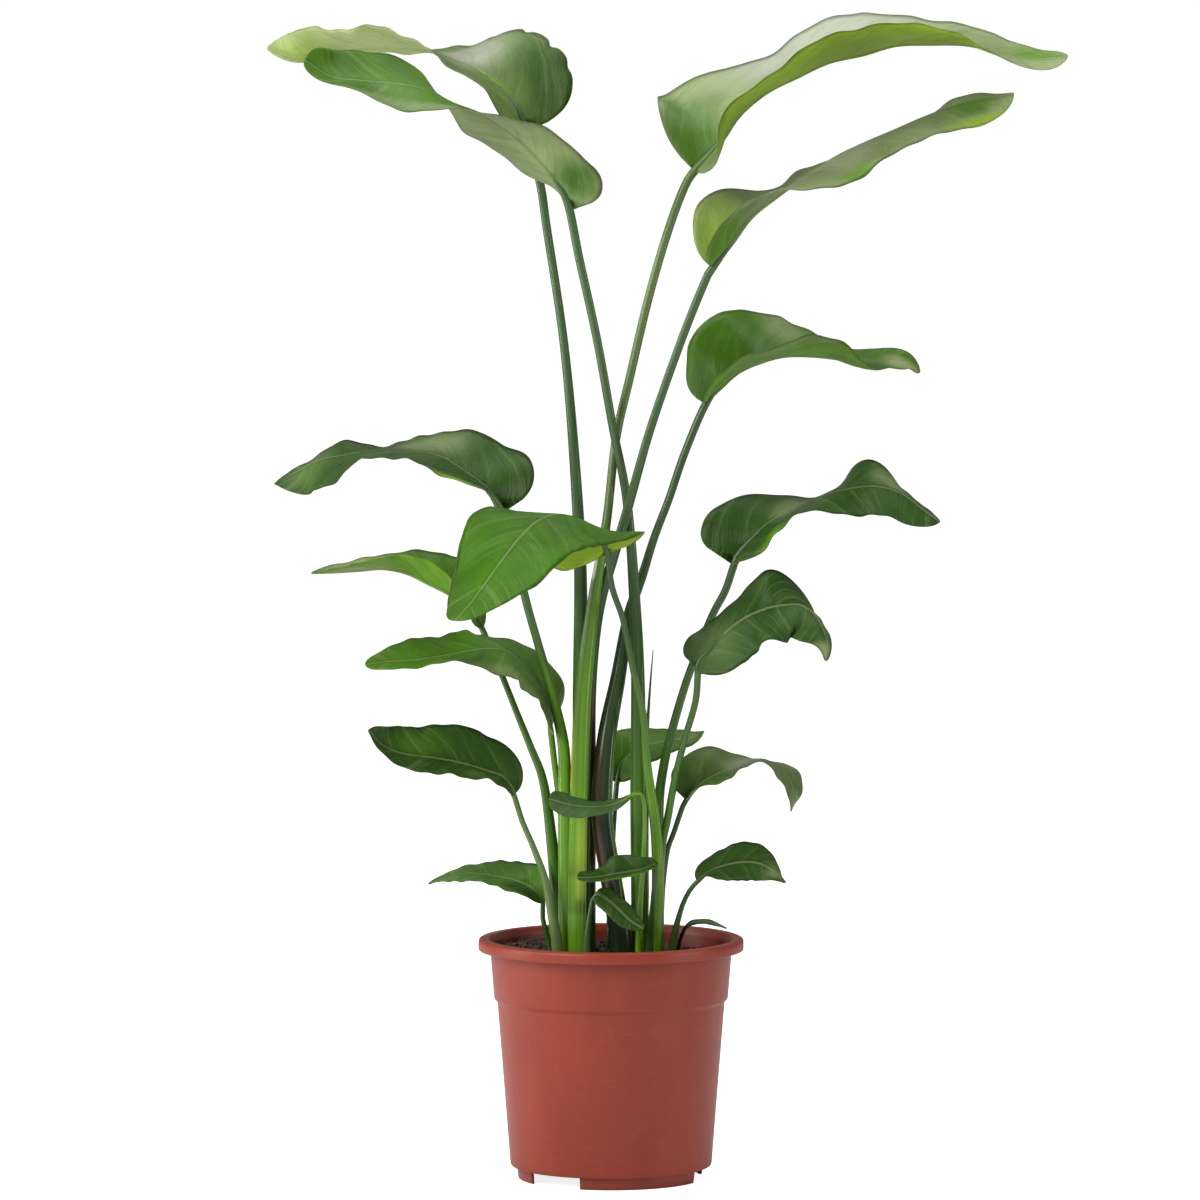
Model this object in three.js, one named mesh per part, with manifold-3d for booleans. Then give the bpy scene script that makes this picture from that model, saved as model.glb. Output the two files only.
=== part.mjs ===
// A young giant white bird of paradise in a plastic nursery pot.
// The pot stands on the plane z = 0 with its axis on the z axis. The viewer of the photograph looks along +y,
// so x runs to the right, negative y is nearer and z is up. All sizes are in millimetres.
import * as THREE from "three";
import { mergeVertices } from "three/addons/utils/BufferGeometryUtils.js";
import Module from "manifold-3d";

const wasm = await Module();
wasm.setup();

// Driving dimensions of the pot
const POT_HEIGHT = 218;
const RIM_RADIUS = 120;
const RIM_DROP = 10.5;
const MOUTH_RADIUS = 110.4;
const BAND_TOP_RADIUS = 109.6;
const BAND_FOOT_RADIUS = 105.8;
const STEP_HEIGHT = 163.5;
const BODY_TOP_RADIUS = 102.9;
const BODY_FOOT_RADIUS = 91.3;
const WALL = 2;
const RIM_WALL = 3;
const STEP_DROP = 3;
const BAND_TOP_HEIGHT = 212;
const CORNER = 2.5;
const FLOOR_HEIGHT = 11;
const FOOT_RADIUS = 85.5;
const FOOT_WALL = 3;
const CENTRE_FOOT_RADIUS = 22;
const RIM_EDGE = 1;
const LIP_CORNER = 2.5;
const SHOULDER = 1.5;
const POT_SIDES = 40;

// The pot's axis stands off the origin, so that the origin lies under the middle of the whole plant.
const POT_AXIS = [-46.8, 26.6];

// The foot ring is three arcs with a drainage notch after each one.
const FOOT_ARCS = 3;
const NOTCH_DEGREES = 38;
const NOTCH_CENTRE_DEGREES = 231.5;
const DRAIN_RADIUS = 6;
const DRAIN_CIRCLE = 64;
const DRAINS = 6;

// Soil and the room left round what stands in it
const SOIL_HEIGHT = 203;
const SOIL_TILT = 0.045;
const SOIL_BUMP = 2.2;
const SOIL_WAVES = { x: 0.11, y: 0.13, crossX: 0.23, crossY: 0.19, shift: 0.6, crossShare: 0.6 };
const SOIL_RINGS = 5;
const ROOM = 0.35;

// Leaf build
const BLADE_THICKNESS = 1;
const TIP_HALF_WIDTH = 1.2;
const WAVE_POWER = 1.5;
const WAVE_SHIFT = 0.37;
const ROW_CROWDING = 0.55;
const LARGE_HALF_WIDTH = 35;
const LOBE_SHARE = 0.3;
const STALK_END_SHARES = [0.05, 0.12];
const RIB_SHARE = 0.5;
const RIB_FADE = 0.85;
const STALK_END_SIZES = [0.75, 0.4];
const LARGE_SIDES = 8;
const SMALL_SIDES = 6;
const LARGE_ROWS = 12;
const SMALL_ROWS = 9;
const LARGE_COLUMNS = [0.12, 0.55, 1];
const SMALL_COLUMNS = [0.16, 1];

const PLASTIC = { color: 0x9c4436, roughness: 0.45, metalness: 0 };
const SOIL = { color: 0x2e1a12, roughness: 0.95, metalness: 0 };
const LEAF = { color: 0x4a7a24, roughness: 0.4, metalness: 0 };

// Every leaf, from the tallest to the smallest. stalk runs from below the soil to the blade's base, and rib
// from there to the tip. foot is the sheath's half size at the soil, across and along the line of sight,
// sheath is where along the stalk it starts and ends to narrow, and top is the stalk's half size after that.
// halfWidth is half the blade's full width, which it has at the share widest of the rib. left and right are
// how many degrees each half of the blade stands above level, at even steps from base to tip, seen from above
// with the tip ahead, and curl is how much further each half bends on its way to the edge. lobe is how far
// the base's corners reach back past the stalk, and wave is the height, number and phase of the edge's waves.
const LEAVES = [
  {
    name: "leaf_01_top_left_back",
    stalk: [
      [-27.8, 16, 158], [-27.8, 16, 264], [-27.8, 17, 435], [-27.5, 18, 550], [-33.2, 21, 655],
      [-42.7, 28, 757], [-57.7, 38, 857], [-64.5, 41, 901],
    ],
    rib: [
      [-80.4, 43, 955.6], [-96, 50.1, 979.5], [-116.8, 58.7, 999], [-142.5, 69.5, 1011.9],
      [-170.5, 81, 1019], [-199.5, 92.8, 1021], [-228.6, 104.2, 1019.4], [-257.5, 115.6, 1015.4],
      [-286.4, 126.9, 1012], [-314.5, 138, 1020.1],
    ],
    foot: [7, 6.5], top: 4.1, sheath: [0.3, 0.8], halfWidth: 68.3,
    widest: 0.15, tipPower: 0.65, basePower: 2.48, lobe: 11.8,
    curl: [8, 12], wave: [2.4, 4, 0.1],
    left: [-2, 8, 1, 12, 18, 20, 31, 52, 104], right: [56, 56, 34, 7, -3, -2, -2, -9, -40],
  },
  {
    name: "leaf_02_top_left_front",
    stalk: [
      [26, 0, 158], [26, 0, 243], [25, 0, 355], [24.5, -1, 453], [21.5, -2, 525], [14.5, -4, 614],
      [1.7, -11, 681], [-12.3, -16, 759], [-28, -21, 831],
    ],
    rib: [
      [-39.5, -25, 885.1], [-54.5, -29.4, 908.7], [-72.8, -35.4, 929.8], [-93.8, -41.9, 948.1],
      [-116.8, -49.5, 963.1], [-142.5, -58.1, 973.6], [-167.5, -66.7, 985], [-194.6, -75.3, 989.8],
      [-222, -84.1, 992.1], [-248.9, -92.2, 995.9], [-271.7, -98, 1010.5],
    ],
    foot: [8, 7], top: 4.1, sheath: [0.2, 0.7], halfWidth: 56.4,
    widest: 0.25, tipPower: 0.34, basePower: 3.67, lobe: 10.1,
    curl: [10, 8], wave: [2, 3, 3.6],
    left: [40, 23, 14, 3, -8, -26, -26, -14, -30], right: [13, -8, -10, -16, 7, 29, 34, 45, 64],
  },
  {
    name: "leaf_03_top_right",
    stalk: [
      [-31, -16, 158], [-31, -16, 253], [-29, -15, 365], [-25.5, -13, 445], [-16, -9, 525],
      [-4, -4, 599], [4, 2, 669], [17, 5, 727], [33, 7, 795], [50, 8, 854], [66, 9, 897],
    ],
    rib: [
      [77, 10, 913], [97.5, 10, 935.5], [115, 9.2, 961], [138.9, 7.3, 981.2], [166.9, 4.8, 995.3],
      [195.1, 1.5, 1008.3], [225.4, -1.7, 1015.1], [255.3, -4.8, 1023.4], [286.3, -8, 1024.4],
      [317.2, -11.4, 1023.7], [347.5, -15.1, 1017.4], [377.8, -19.2, 1011.2], [408.2, -24, 1013.6],
    ],
    foot: [8.7, 7.8], top: 4.3, sheath: [0.3, 0.62], halfWidth: 83.3,
    widest: 0.15, tipPower: 0.57, basePower: 2.08, lobe: 3.6,
    curl: [8, 10], wave: [2, 4, 3.3],
    left: [104, 54, 22, 29, 29, 22, 16, 17, 15], right: [-18, 2, 6, 11, 19, 15, 10, -10, -34],
  },
  {
    name: "leaf_04_upper_right",
    stalk: [
      [-20, 6, 158], [-20, 6, 253], [-20, 4, 365], [-19.5, 3, 435], [-15.5, 3, 489], [-9, 3, 527],
      [1, -2.5, 561], [15.5, -16.3, 611], [35, -21.5, 680], [62, -25, 758], [83, -28, 811],
    ],
    rib: [
      [90.2, -30, 824.4], [108, -31, 847.6], [125.4, -31, 870.9], [148.2, -31, 889],
      [171.8, -31.3, 906], [196, -32.1, 922.2], [222, -32.8, 935.3], [248.8, -33.5, 946.7],
      [275.5, -34.8, 958.2], [302.5, -37.6, 968.7], [330.6, -40.5, 975.4], [359.1, -43, 980.8],
    ],
    foot: [6.2, 5.8], top: 4.1, sheath: [0.3, 0.85], halfWidth: 61.8,
    widest: 0.33, tipPower: 0.54, basePower: 2.1, lobe: 0,
    curl: [8, -8], wave: [2, 4, 3.8],
    left: [100, 64, 12, 4, -3, -5, 1, 9, 6], right: [26, 20, 6, -13, -30, -19, -25, -41, -67],
  },
  {
    name: "leaf_05_middle_right",
    stalk: [
      [9, -9, 158], [8, -9, 218], [0, -11, 272], [-8.5, -10, 330], [-5, -5, 395], [6, 7, 453],
      [16, 12, 510], [28, 15, 545], [39, 17, 580], [52, 18, 614], [66, 20, 655],
    ],
    rib: [
      [85.7, 24, 700.8], [100.2, 29.6, 715.9], [116.3, 36.6, 729], [135.8, 45.6, 737],
      [156.3, 55.4, 742.1], [177.7, 65.1, 742.1], [199.1, 75.5, 739.7], [220.4, 86.2, 735.9],
      [241.9, 96.8, 735.7], [263.2, 106.7, 736.7], [282.6, 116, 727.4],
    ],
    foot: [10, 6.5], top: 3.8, sheath: [0.3, 0.8], halfWidth: 63.1,
    widest: 0.38, tipPower: 0.58, basePower: 2.3, lobe: 1.1,
    curl: [6, 10], wave: [2, 3, 3.2],
    left: [27, 56, 55, 38, 32, 22, 15, 16, 43], right: [35, 29, 17, 22, 14, -4, -3, -15, -29],
  },
  {
    name: "leaf_06_right",
    stalk: [
      [42, 10, 158], [42, 10, 243], [43, 10, 335], [47, 11, 371], [53, 11, 398], [63, 12, 434],
      [73, 12, 464], [91, 13, 509], [103, 13, 532],
    ],
    rib: [
      [113.7, 13, 562.2], [127.3, 11.5, 578.8], [142.6, 9.1, 593.8], [160.8, 5.8, 605],
      [180.1, 1.4, 614.2], [200, -4.2, 621.8], [220.6, -10.1, 626.4], [241.6, -16.7, 627.7],
      [261.3, -23.4, 622], [278, -29.1, 609.4], [294.8, -34, 597],
    ],
    foot: [5.5, 5], top: 3.8, sheath: [0.1, 0.85], halfWidth: 48.1,
    widest: 0.26, tipPower: 0.56, basePower: 4.78, lobe: 8.1,
    curl: [6, 0], wave: [1.6, 3, 0.5],
    left: [103, 67, 24, 5, 10, 33, 2, -6, 1], right: [-10, -27, -17, -10, -22, -34, -44, -51, -59],
  },
  {
    name: "leaf_07_lower_right",
    stalk: [
      [42.5, -1, 158], [42.5, -1, 233], [45.5, -2, 298], [51, -3, 327], [57.5, -6, 363],
      [66, -15, 399], [76, -20, 435],
    ],
    rib: [
      [79, -24, 468.4], [88.6, -27, 481], [98.5, -29.8, 493.5], [110, -33.2, 504.2],
      [123.2, -37.5, 512.9], [137.7, -42.8, 519], [152.7, -49.2, 523.2], [168, -56.5, 524.9],
      [180.9, -62.8, 517.9], [188.9, -66.4, 504.8], [193.1, -68.8, 490.1], [190.9, -71, 475],
    ],
    foot: [4.5, 4.4], top: 3.2, sheath: [0.1, 0.85], halfWidth: 39.6,
    widest: 0.37, tipPower: 0.47, basePower: 4.62, lobe: 4.7,
    curl: [0, 0], wave: [1.4, 3, 0.7],
    left: [60, 41, 34, 45, 57, -6, -18, -15, -1], right: [-26, -59, -64, -61, -45, -68, -82, -39, 11],
  },
  {
    name: "leaf_08_left",
    stalk: [
      [-40, -4, 158], [-40, -4, 264], [-41.5, -4, 355], [-43, -3, 395], [-53, 0, 440], [-65, 3, 482],
      [-77, 5, 525], [-88, 7, 575],
    ],
    rib: [
      [-102, 8, 610.5], [-116, 9.7, 627.9], [-134, 14.3, 641.1], [-153.2, 19.8, 652.5],
      [-175.1, 26.6, 657], [-197.7, 33.9, 658.7], [-220.3, 42.4, 657.1], [-242.7, 50.3, 652.4],
      [-264.9, 58.3, 647.4], [-285.3, 66.2, 636.4], [-305.7, 74, 625.5],
    ],
    foot: [8, 7], top: 4, sheath: [0.2, 0.75], halfWidth: 60.8,
    widest: 0.35, tipPower: 0.55, basePower: 3.22, lobe: 9.2,
    curl: [0, 10], wave: [2.2, 4, 0.9],
    left: [23, 4, -2, -4, -4, -22, -33, -47, -7], right: [85, 37, 24, 16, 5, 4, 14, 15, 15],
  },
  {
    name: "leaf_09_front",
    stalk: [
      [40, -13, 158], [42, -13, 233], [41, -13, 309], [32.5, -13, 375], [29, -14, 420], [20, -16, 462],
      [11, -20, 507], [1, -24, 537],
    ],
    rib: [
      [-4.6, -30, 571.5], [-14.3, -42.6, 589.2], [-29.3, -58, 602], [-48, -76.5, 606.9],
      [-65.3, -97.4, 602.1], [-79.3, -117.8, 590.5], [-91.1, -136.6, 576.8], [-102.4, -154.4, 562.6],
      [-113.4, -171, 548.3], [-124.6, -186.2, 534.1], [-137, -200, 520.9],
    ],
    foot: [6, 5.5], top: 2.8, sheath: [0.1, 0.85], halfWidth: 60.1,
    widest: 0.35, tipPower: 0.51, basePower: 2.99, lobe: 3.6,
    curl: [-6, 0], wave: [1.6, 3, 0.4],
    left: [36, -12, -27, -24, -16, -12, -11, -5, -4], right: [-71, -41, -11, 8, 11, 0, -10, -14, -8],
  },
  {
    name: "leaf_10_left_behind",
    stalk: [
      [-46, 12, 158], [-48, 12, 243], [-54.5, 14, 314], [-61.5, 16, 360], [-72, 18, 388],
      [-85, 22, 420], [-99, 25, 455], [-108, 28, 475],
    ],
    rib: [
      [-116.9, 30, 496.6], [-128.4, 32.5, 514.5], [-146.2, 37.7, 526.8], [-165.8, 45, 536.2],
      [-185.7, 53.1, 544.9], [-207.3, 60.5, 548.4], [-229.2, 67.4, 546.2], [-251.3, 74, 544.2],
      [-273.4, 80, 543],
    ],
    foot: [7, 6], top: 3, sheath: [0.1, 0.85], halfWidth: 37.7,
    widest: 0.36, tipPower: 0.78, basePower: 2.03, lobe: 0,
    curl: [0, 6], wave: [1.4, 3, 0.2],
    left: [-6, 17, 37, 39, 33, 17, 14, 16, 5], right: [5, 23, 49, 47, 32, 21, 27, 22, 37],
  },
  {
    name: "leaf_11_lower_left",
    stalk: [[-38, 26, 158], [-39, 25, 233], [-44, 20, 314], [-51, 14, 375]],
    rib: [
      [-54.3, 12, 403.7], [-57.2, 9.9, 425.5], [-64.6, 6.7, 446.2], [-77.7, -0.2, 463.7],
      [-93.3, -11.5, 478.9], [-114.2, -22.4, 482.1], [-135.5, -29, 478.9], [-156.6, -33.8, 475.3],
      [-177.9, -37.7, 472.6], [-199.4, -40.9, 471.6], [-220.6, -44, 469.2],
    ],
    foot: [4, 4], top: 3, sheath: [0.1, 0.85], halfWidth: 43.1,
    widest: 0.35, tipPower: 0.52, basePower: 5.35, lobe: 0,
    curl: [0, 0], wave: [1.8, 4, 0.6],
    left: [-13, -24, -25, -33, -31, -10, -2, -12, -22], right: [21, 44, 34, 12, 18, 20, 30, 31, 25],
  },
  {
    name: "leaf_12_left_low",
    stalk: [[-46, -22, 158], [-48, -22, 210], [-58, -23, 268], [-69, -25, 301], [-80, -26, 327]],
    rib: [
      [-88.3, -27, 353.1], [-96.9, -29.1, 366.3], [-112.3, -33.1, 372.6], [-128, -37.5, 378],
      [-143.9, -42.2, 382.4], [-160.1, -46.9, 385.5], [-176.3, -51.8, 388], [-192.3, -56.6, 391.8],
      [-206.9, -60.8, 399.6], [-217.5, -64, 412.5],
    ],
    foot: [6, 5.5], top: 2.8, sheath: [0.1, 0.85], halfWidth: 38.1,
    widest: 0.36, tipPower: 0.5, basePower: 2.39, lobe: 2.8,
    curl: [0, 0], wave: [1.4, 3, 0.1],
    left: [-23, -18, -8, -19, -14, -20, -24, -17, -17], right: [51, 58, 54, 62, 55, 45, 54, 59, 68],
  },
  {
    name: "leaf_13_bottom_left",
    stalk: [[-55, -8, 158], [-55, -8, 208], [-59, -8, 225], [-62, -8, 239]],
    rib: [
      [-61.5, -7, 250.4], [-71.6, -4.7, 262.7], [-86, 0.1, 269.6], [-102.1, 6, 272.3],
      [-118.3, 12.1, 274.5], [-134.5, 18.7, 274.3], [-150.5, 24, 269.8], [-166.1, 28, 263.7],
    ],
    foot: [3.8, 3.8], top: 2.4, sheath: [0.1, 0.85], halfWidth: 30.1,
    widest: 0.36, tipPower: 0.6, basePower: 1.63, lobe: 0.4,
    curl: [0, 0], wave: [1, 3, 3.3],
    left: [-19, -9, -13, -7, -3, -13, -11, -5, -5], right: [104, 72, 34, 27, 21, 16, 16, 12, 20],
  },
  {
    name: "leaf_14_centre",
    stalk: [[24, -20, 158], [26, -24, 243], [29.5, -29, 300], [30, -33, 338], [27, -39, 352]],
    rib: [
      [20.5, -44, 353], [10.7, -47.3, 347.5], [0.2, -49.9, 343.7], [-11, -51.6, 342],
      [-22.4, -53.1, 342.2], [-33.7, -54.6, 343.7], [-44.8, -56.3, 346.6], [-55.7, -58, 349.9],
    ],
    foot: [3.5, 3.5], top: 2, sheath: [0.1, 0.85], halfWidth: 18.7,
    widest: 0.55, tipPower: 0.34, basePower: 1.1, lobe: 0.7,
    curl: [0, 0], wave: [0.8, 2, 0.2],
    left: [-43, -31, -22, -20, -23, -28, -36, -44, -47], right: [43, 30, 19, 13, 16, 21, 26, 36, 51],
  },
  {
    name: "leaf_15_centre_low",
    stalk: [[34, -24, 158], [35, -30, 218], [38, -44, 262]],
    rib: [
      [39.4, -50, 288.7], [28.1, -52.2, 285.4], [16.4, -53.8, 283.7], [4.7, -55.3, 282],
      [-7, -56.9, 280.1], [-18.8, -58.4, 278.8], [-30.6, -60, 279],
    ],
    foot: [4.5, 4], top: 2.2, sheath: [0.1, 0.85], halfWidth: 16.6,
    widest: 0.41, tipPower: 0.38, basePower: 1.68, lobe: 3.2,
    curl: [0, 0], wave: [0.6, 2, 0.6],
    left: [-37, -6, -7, -11, -8, -7, -12, -13, -18], right: [92, 92, 74, 72, 74, 34, 22, 27, 45],
  },
  {
    name: "leaf_16_centre_lowest",
    stalk: [[-22, -32, 158], [-22, -33, 215], [-18, -37, 251]],
    rib: [[-13, -40, 262], [-4, -44, 258], [7, -50, 249], [17, -56, 240], [29, -62, 233]],
    foot: [4.6, 4], top: 2, sheath: [0.1, 0.85], halfWidth: 12.5,
    widest: 0.36, tipPower: 0.45, basePower: 2.4, lobe: 2,
    curl: [0, 0], wave: [0.5, 2, 0.1],
    left: [50, 35, 35, 35, 30], right: [-50, -35, -35, -35, -30],
  },
  {
    name: "leaf_17_right_low",
    stalk: [[45, 20, 158], [45, 19, 240], [50, 17, 291], [57, 14, 313], [64, 13, 334]],
    rib: [
      [67.8, 12, 341.9], [79.8, 11.5, 355.2], [94.9, 9.9, 364.8], [111, 7.6, 372.7], [127.7, 4.4, 379],
      [145.1, 0.7, 377.4], [158.7, -3, 367.2], [164, -5.1, 350.6], [162.4, -6, 332.9],
    ],
    foot: [4, 4], top: 2.6, sheath: [0.1, 0.85], halfWidth: 37.3,
    widest: 0.35, tipPower: 0.49, basePower: 2.58, lobe: 0,
    curl: [0, 0], wave: [1, 3, 3.5],
    left: [104, 66, 47, 16, -4, -7, 10, 13, -5], right: [-5, -4, -10, -12, -6, 6, -8, -4, 7],
  },
  {
    name: "leaf_18_bottom_right",
    stalk: [[56, -18, 158], [55, -18, 209], [62, -19, 243], [70, -20, 262]],
    rib: [
      [80.1, -20, 273.6], [92, -21.9, 282.1], [105.8, -25.1, 287.1], [120.1, -28.6, 289.6],
      [134.4, -32, 288.4], [146.7, -35.2, 281.8], [157.2, -38, 272],
    ],
    foot: [5, 5], top: 2.4, sheath: [0.1, 0.85], halfWidth: 24.2,
    widest: 0.36, tipPower: 0.55, basePower: 2.03, lobe: 3.7,
    curl: [0, 0], wave: [0.8, 3, 0.8],
    left: [63, 39, 38, 44, 45, 44, 22, 1, -4], right: [-5, -8, -25, -35, -37, -42, -43, -23, -6],
  },
  {
    name: "leaf_19_over_rim",
    stalk: [[60, 28, 158], [61, 28, 203], [64, 26, 217]],
    rib: [[67, 24, 224], [74, 24, 229], [86, 23, 230], [96, 22, 227.5], [105, 21, 224]],
    foot: [3, 3], top: 1.8, sheath: [0.1, 0.85], halfWidth: 5,
    widest: 0.36, tipPower: 0.85, basePower: 2.4, lobe: 0,
    curl: [0, 0], wave: [0.3, 2, 0],
    left: [25, 25, 28], right: [-25, -25, -25],
  },
  {
    name: "leaf_20_back",
    stalk: [[-2, 34, 158], [-1, 36, 223], [1, 40, 294], [4, 48, 340]],
    rib: [
      [6, 52, 358], [10, 55, 371], [21, 58, 382], [37, 62, 388], [59, 66, 392], [75, 69, 394],
      [85, 71, 399],
    ],
    foot: [4, 4], top: 2.6, sheath: [0.1, 0.85], halfWidth: 28,
    widest: 0.36, tipPower: 0.85, basePower: 2.4, lobe: 4,
    curl: [0, 0], wave: [0.8, 2, 0.4],
    left: [85, 60, 35, 25, 25, 20], right: [-40, -30, -25, -20, -25, -20],
  },
];

// The rolled leaf that hasn't opened yet: a spike with a needle point.
const SPEAR = {
  name: "new_leaf_spear",
  route: [
    [30, 19, 158], [31, 18, 233], [31.5, 17, 304], [32, 15, 365], [33, 14, 407], [35.3, 12, 445],
    [38, 11, 478],
  ],
  foot: 3.2, point: 0.5, power: 2.2, steps: 8,
};

const rad = THREE.MathUtils.degToRad;
const UP = new THREE.Vector3(0, 0, 1);

// A smooth value at share along a list of evenly spaced values.
function valueAt(values, share) {
  const last = values.length - 1;
  const at = THREE.MathUtils.clamp(share, 0, 1) * last;
  const i = Math.min(Math.floor(at), last - 1);
  const f = at - i;
  const before = values[Math.max(i - 1, 0)];
  const after = values[Math.min(i + 2, last)];
  const slope = (values[i + 1] - before) / 2;
  const nextSlope = (after - values[i]) / 2;
  const f2 = f * f;
  const f3 = f2 * f;
  return (2 * f3 - 3 * f2 + 1) * values[i] + (f3 - 2 * f2 + f) * slope
    + (3 * f2 - 2 * f3) * values[i + 1] + (f3 - f2) * nextSlope;
}

// Evenly spaced places on the part of a curve between two of its parameters, at given shares of its length.
function placesOn(curve, from, to, shares) {
  const fine = 160;
  const points = [];
  const lengths = [0];
  for (let i = 0; i <= fine; i++) {
    points.push(curve.getPoint(from + (to - from) * i / fine));
    if (i > 0) lengths.push(lengths[i - 1] + points[i].distanceTo(points[i - 1]));
  }
  return shares.map((share) => {
    const wanted = share * lengths[fine];
    let i = 1;
    while (i < fine && lengths[i] < wanted) i++;
    const f = (wanted - lengths[i - 1]) / (lengths[i] - lengths[i - 1]);
    return points[i - 1].clone().lerp(points[i], f);
  });
}

function tangentsOf(points) {
  return points.map((p, i) => {
    const next = points[Math.min(i + 1, points.length - 1)];
    const before = points[Math.max(i - 1, 0)];
    return next.clone().sub(before).normalize();
  });
}

function steps(count) {
  return Array.from({ length: count + 1 }, (_, i) => i / count);
}

// Steps that are closer together towards both ends.
function endedSteps(count) {
  return steps(count).map((s) => {
    const crowded = 0.5 - 0.5 * Math.cos(Math.PI * s);
    return (1 - ROW_CROWDING) * s + ROW_CROWDING * crowded;
  });
}

function curveOf(leaf) {
  const points = [...leaf.stalk, ...leaf.rib].map((p) => new THREE.Vector3(...p));
  const curve = new THREE.CatmullRomCurve3(points, false, "catmullrom", 0.5);
  return { curve, base: leaf.stalk.length / (points.length - 1) };
}

// Half the blade's width at a share of the rib: full at its widest place, and narrower towards both ends.
function halfWidthAt(leaf, share) {
  const { widest, tipPower, basePower } = leaf;
  const shape = share < widest
    ? (1 - ((widest - share) / widest) ** basePower) ** (1 / basePower)
    : (1 - ((share - widest) / (1 - widest)) ** 2) ** tipPower;
  return Math.max(leaf.halfWidth * shape, TIP_HALF_WIDTH);
}

// The blade's middle surface as rows of points from left edge to right edge, base to tip.
function bladeRows(leaf, alongSteps, across) {
  const { curve, base } = curveOf(leaf);
  const shares = endedSteps(alongSteps);
  const spine = placesOn(curve, base, 1, shares);
  const tangents = tangentsOf(spine);
  const heading = spine[spine.length - 1].clone().sub(spine[0]).setZ(0).normalize();
  const [waveHeight, waves, wavePhase] = leaf.wave;
  return spine.map((centre, i) => {
    const share = shares[i];
    const tangent = tangents[i];
    const right = new THREE.Vector3().crossVectors(heading, UP);
    right.addScaledVector(tangent, -right.dot(tangent)).normalize();
    const normal = new THREE.Vector3().crossVectors(right, tangent).normalize();
    const width = halfWidthAt(leaf, share);
    const lobe = leaf.lobe * Math.max(0, 1 - share / LOBE_SHARE) ** 2;
    const half = (side, degrees, curl, phase) => {
      const outward = right.clone().multiplyScalar(side);
      const place = centre.clone();
      return across.map((out, j) => {
        const inner = j > 0 ? across[j - 1] : 0;
        const angle = rad(degrees + curl * (out + inner - 1));
        place.addScaledVector(outward, Math.cos(angle) * width * (out - inner));
        place.addScaledVector(normal, Math.sin(angle) * width * (out - inner));
        const lift = waveHeight * out ** WAVE_POWER * Math.sqrt(Math.sin(Math.PI * share))
          * Math.sin(2 * Math.PI * (waves * share + phase));
        return place.clone()
          .addScaledVector(outward, -Math.sin(angle) * lift)
          .addScaledVector(normal, Math.cos(angle) * lift)
          .addScaledVector(tangent, -lobe * out * out);
      });
    };
    const left = half(-1, valueAt(leaf.left, share), leaf.curl[0], wavePhase);
    const rightHalf = half(1, valueAt(leaf.right, share), leaf.curl[1], wavePhase + WAVE_SHIFT);
    return [...left.reverse(), centre.clone(), ...rightHalf];
  });
}

function geometryOf(points, triangles) {
  const geometry = new THREE.BufferGeometry();
  const numbers = points.flatMap((p) => [p.x, p.y, p.z]);
  geometry.setAttribute("position", new THREE.Float32BufferAttribute(numbers, 3));
  geometry.setIndex(triangles.flat());
  return geometry;
}

// A thin closed sheet on a grid of points, thicker under its middle column. Both faces are split along the
// same diagonals.
function sheetOf(rows, thickness, ribDepth) {
  const count = rows[0].length;
  const middleColumn = (count - 1) / 2;
  const at = (i, j) => i * count + j;
  const points = rows.flat();
  const normals = points.map(() => new THREE.Vector3());
  const quads = [];
  for (let i = 0; i + 1 < rows.length; i++) {
    for (let j = 0; j + 1 < count; j++) {
      quads.push([at(i, j), at(i, j + 1), at(i + 1, j + 1), at(i + 1, j)]);
    }
  }
  const triangles = quads.flatMap(([a, b, c, d]) => [[a, b, c], [a, c, d]]);
  for (const [a, b, c] of triangles) {
    const face = points[b].clone().sub(points[a]).cross(points[c].clone().sub(points[a]));
    for (const corner of [a, b, c]) normals[corner].add(face);
  }
  normals.forEach((n) => n.normalize());
  const upper = points.map((p, i) => p.clone().addScaledVector(normals[i], thickness / 2));
  const lower = points.map((p, i) => {
    const share = Math.floor(i / count) / (rows.length - 1);
    const rib = i % count === middleColumn ? ribDepth * (1 - RIB_FADE * share) : 0;
    return p.clone().addScaledVector(normals[i], -thickness / 2 - rib);
  });
  const under = points.length;
  const last = rows.length - 1;
  const acrossCounts = [...rows[0].keys()];
  const alongCounts = [...rows.keys()].slice(1, -1);
  const rim = [
    ...acrossCounts.map((j) => at(0, j)),
    ...alongCounts.map((i) => at(i, count - 1)),
    ...acrossCounts.reverse().map((j) => at(last, j)),
    ...alongCounts.reverse().map((i) => at(i, 0)),
  ];
  const faces = [
    ...triangles,
    ...triangles.map(([a, b, c]) => [a + under, c + under, b + under]),
    ...rim.flatMap((a, k) => {
      const b = rim[(k + 1) % rim.length];
      return [[b, a, a + under], [b, a + under, b + under]];
    }),
  ];
  return geometryOf([...upper, ...lower], faces);
}

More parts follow.
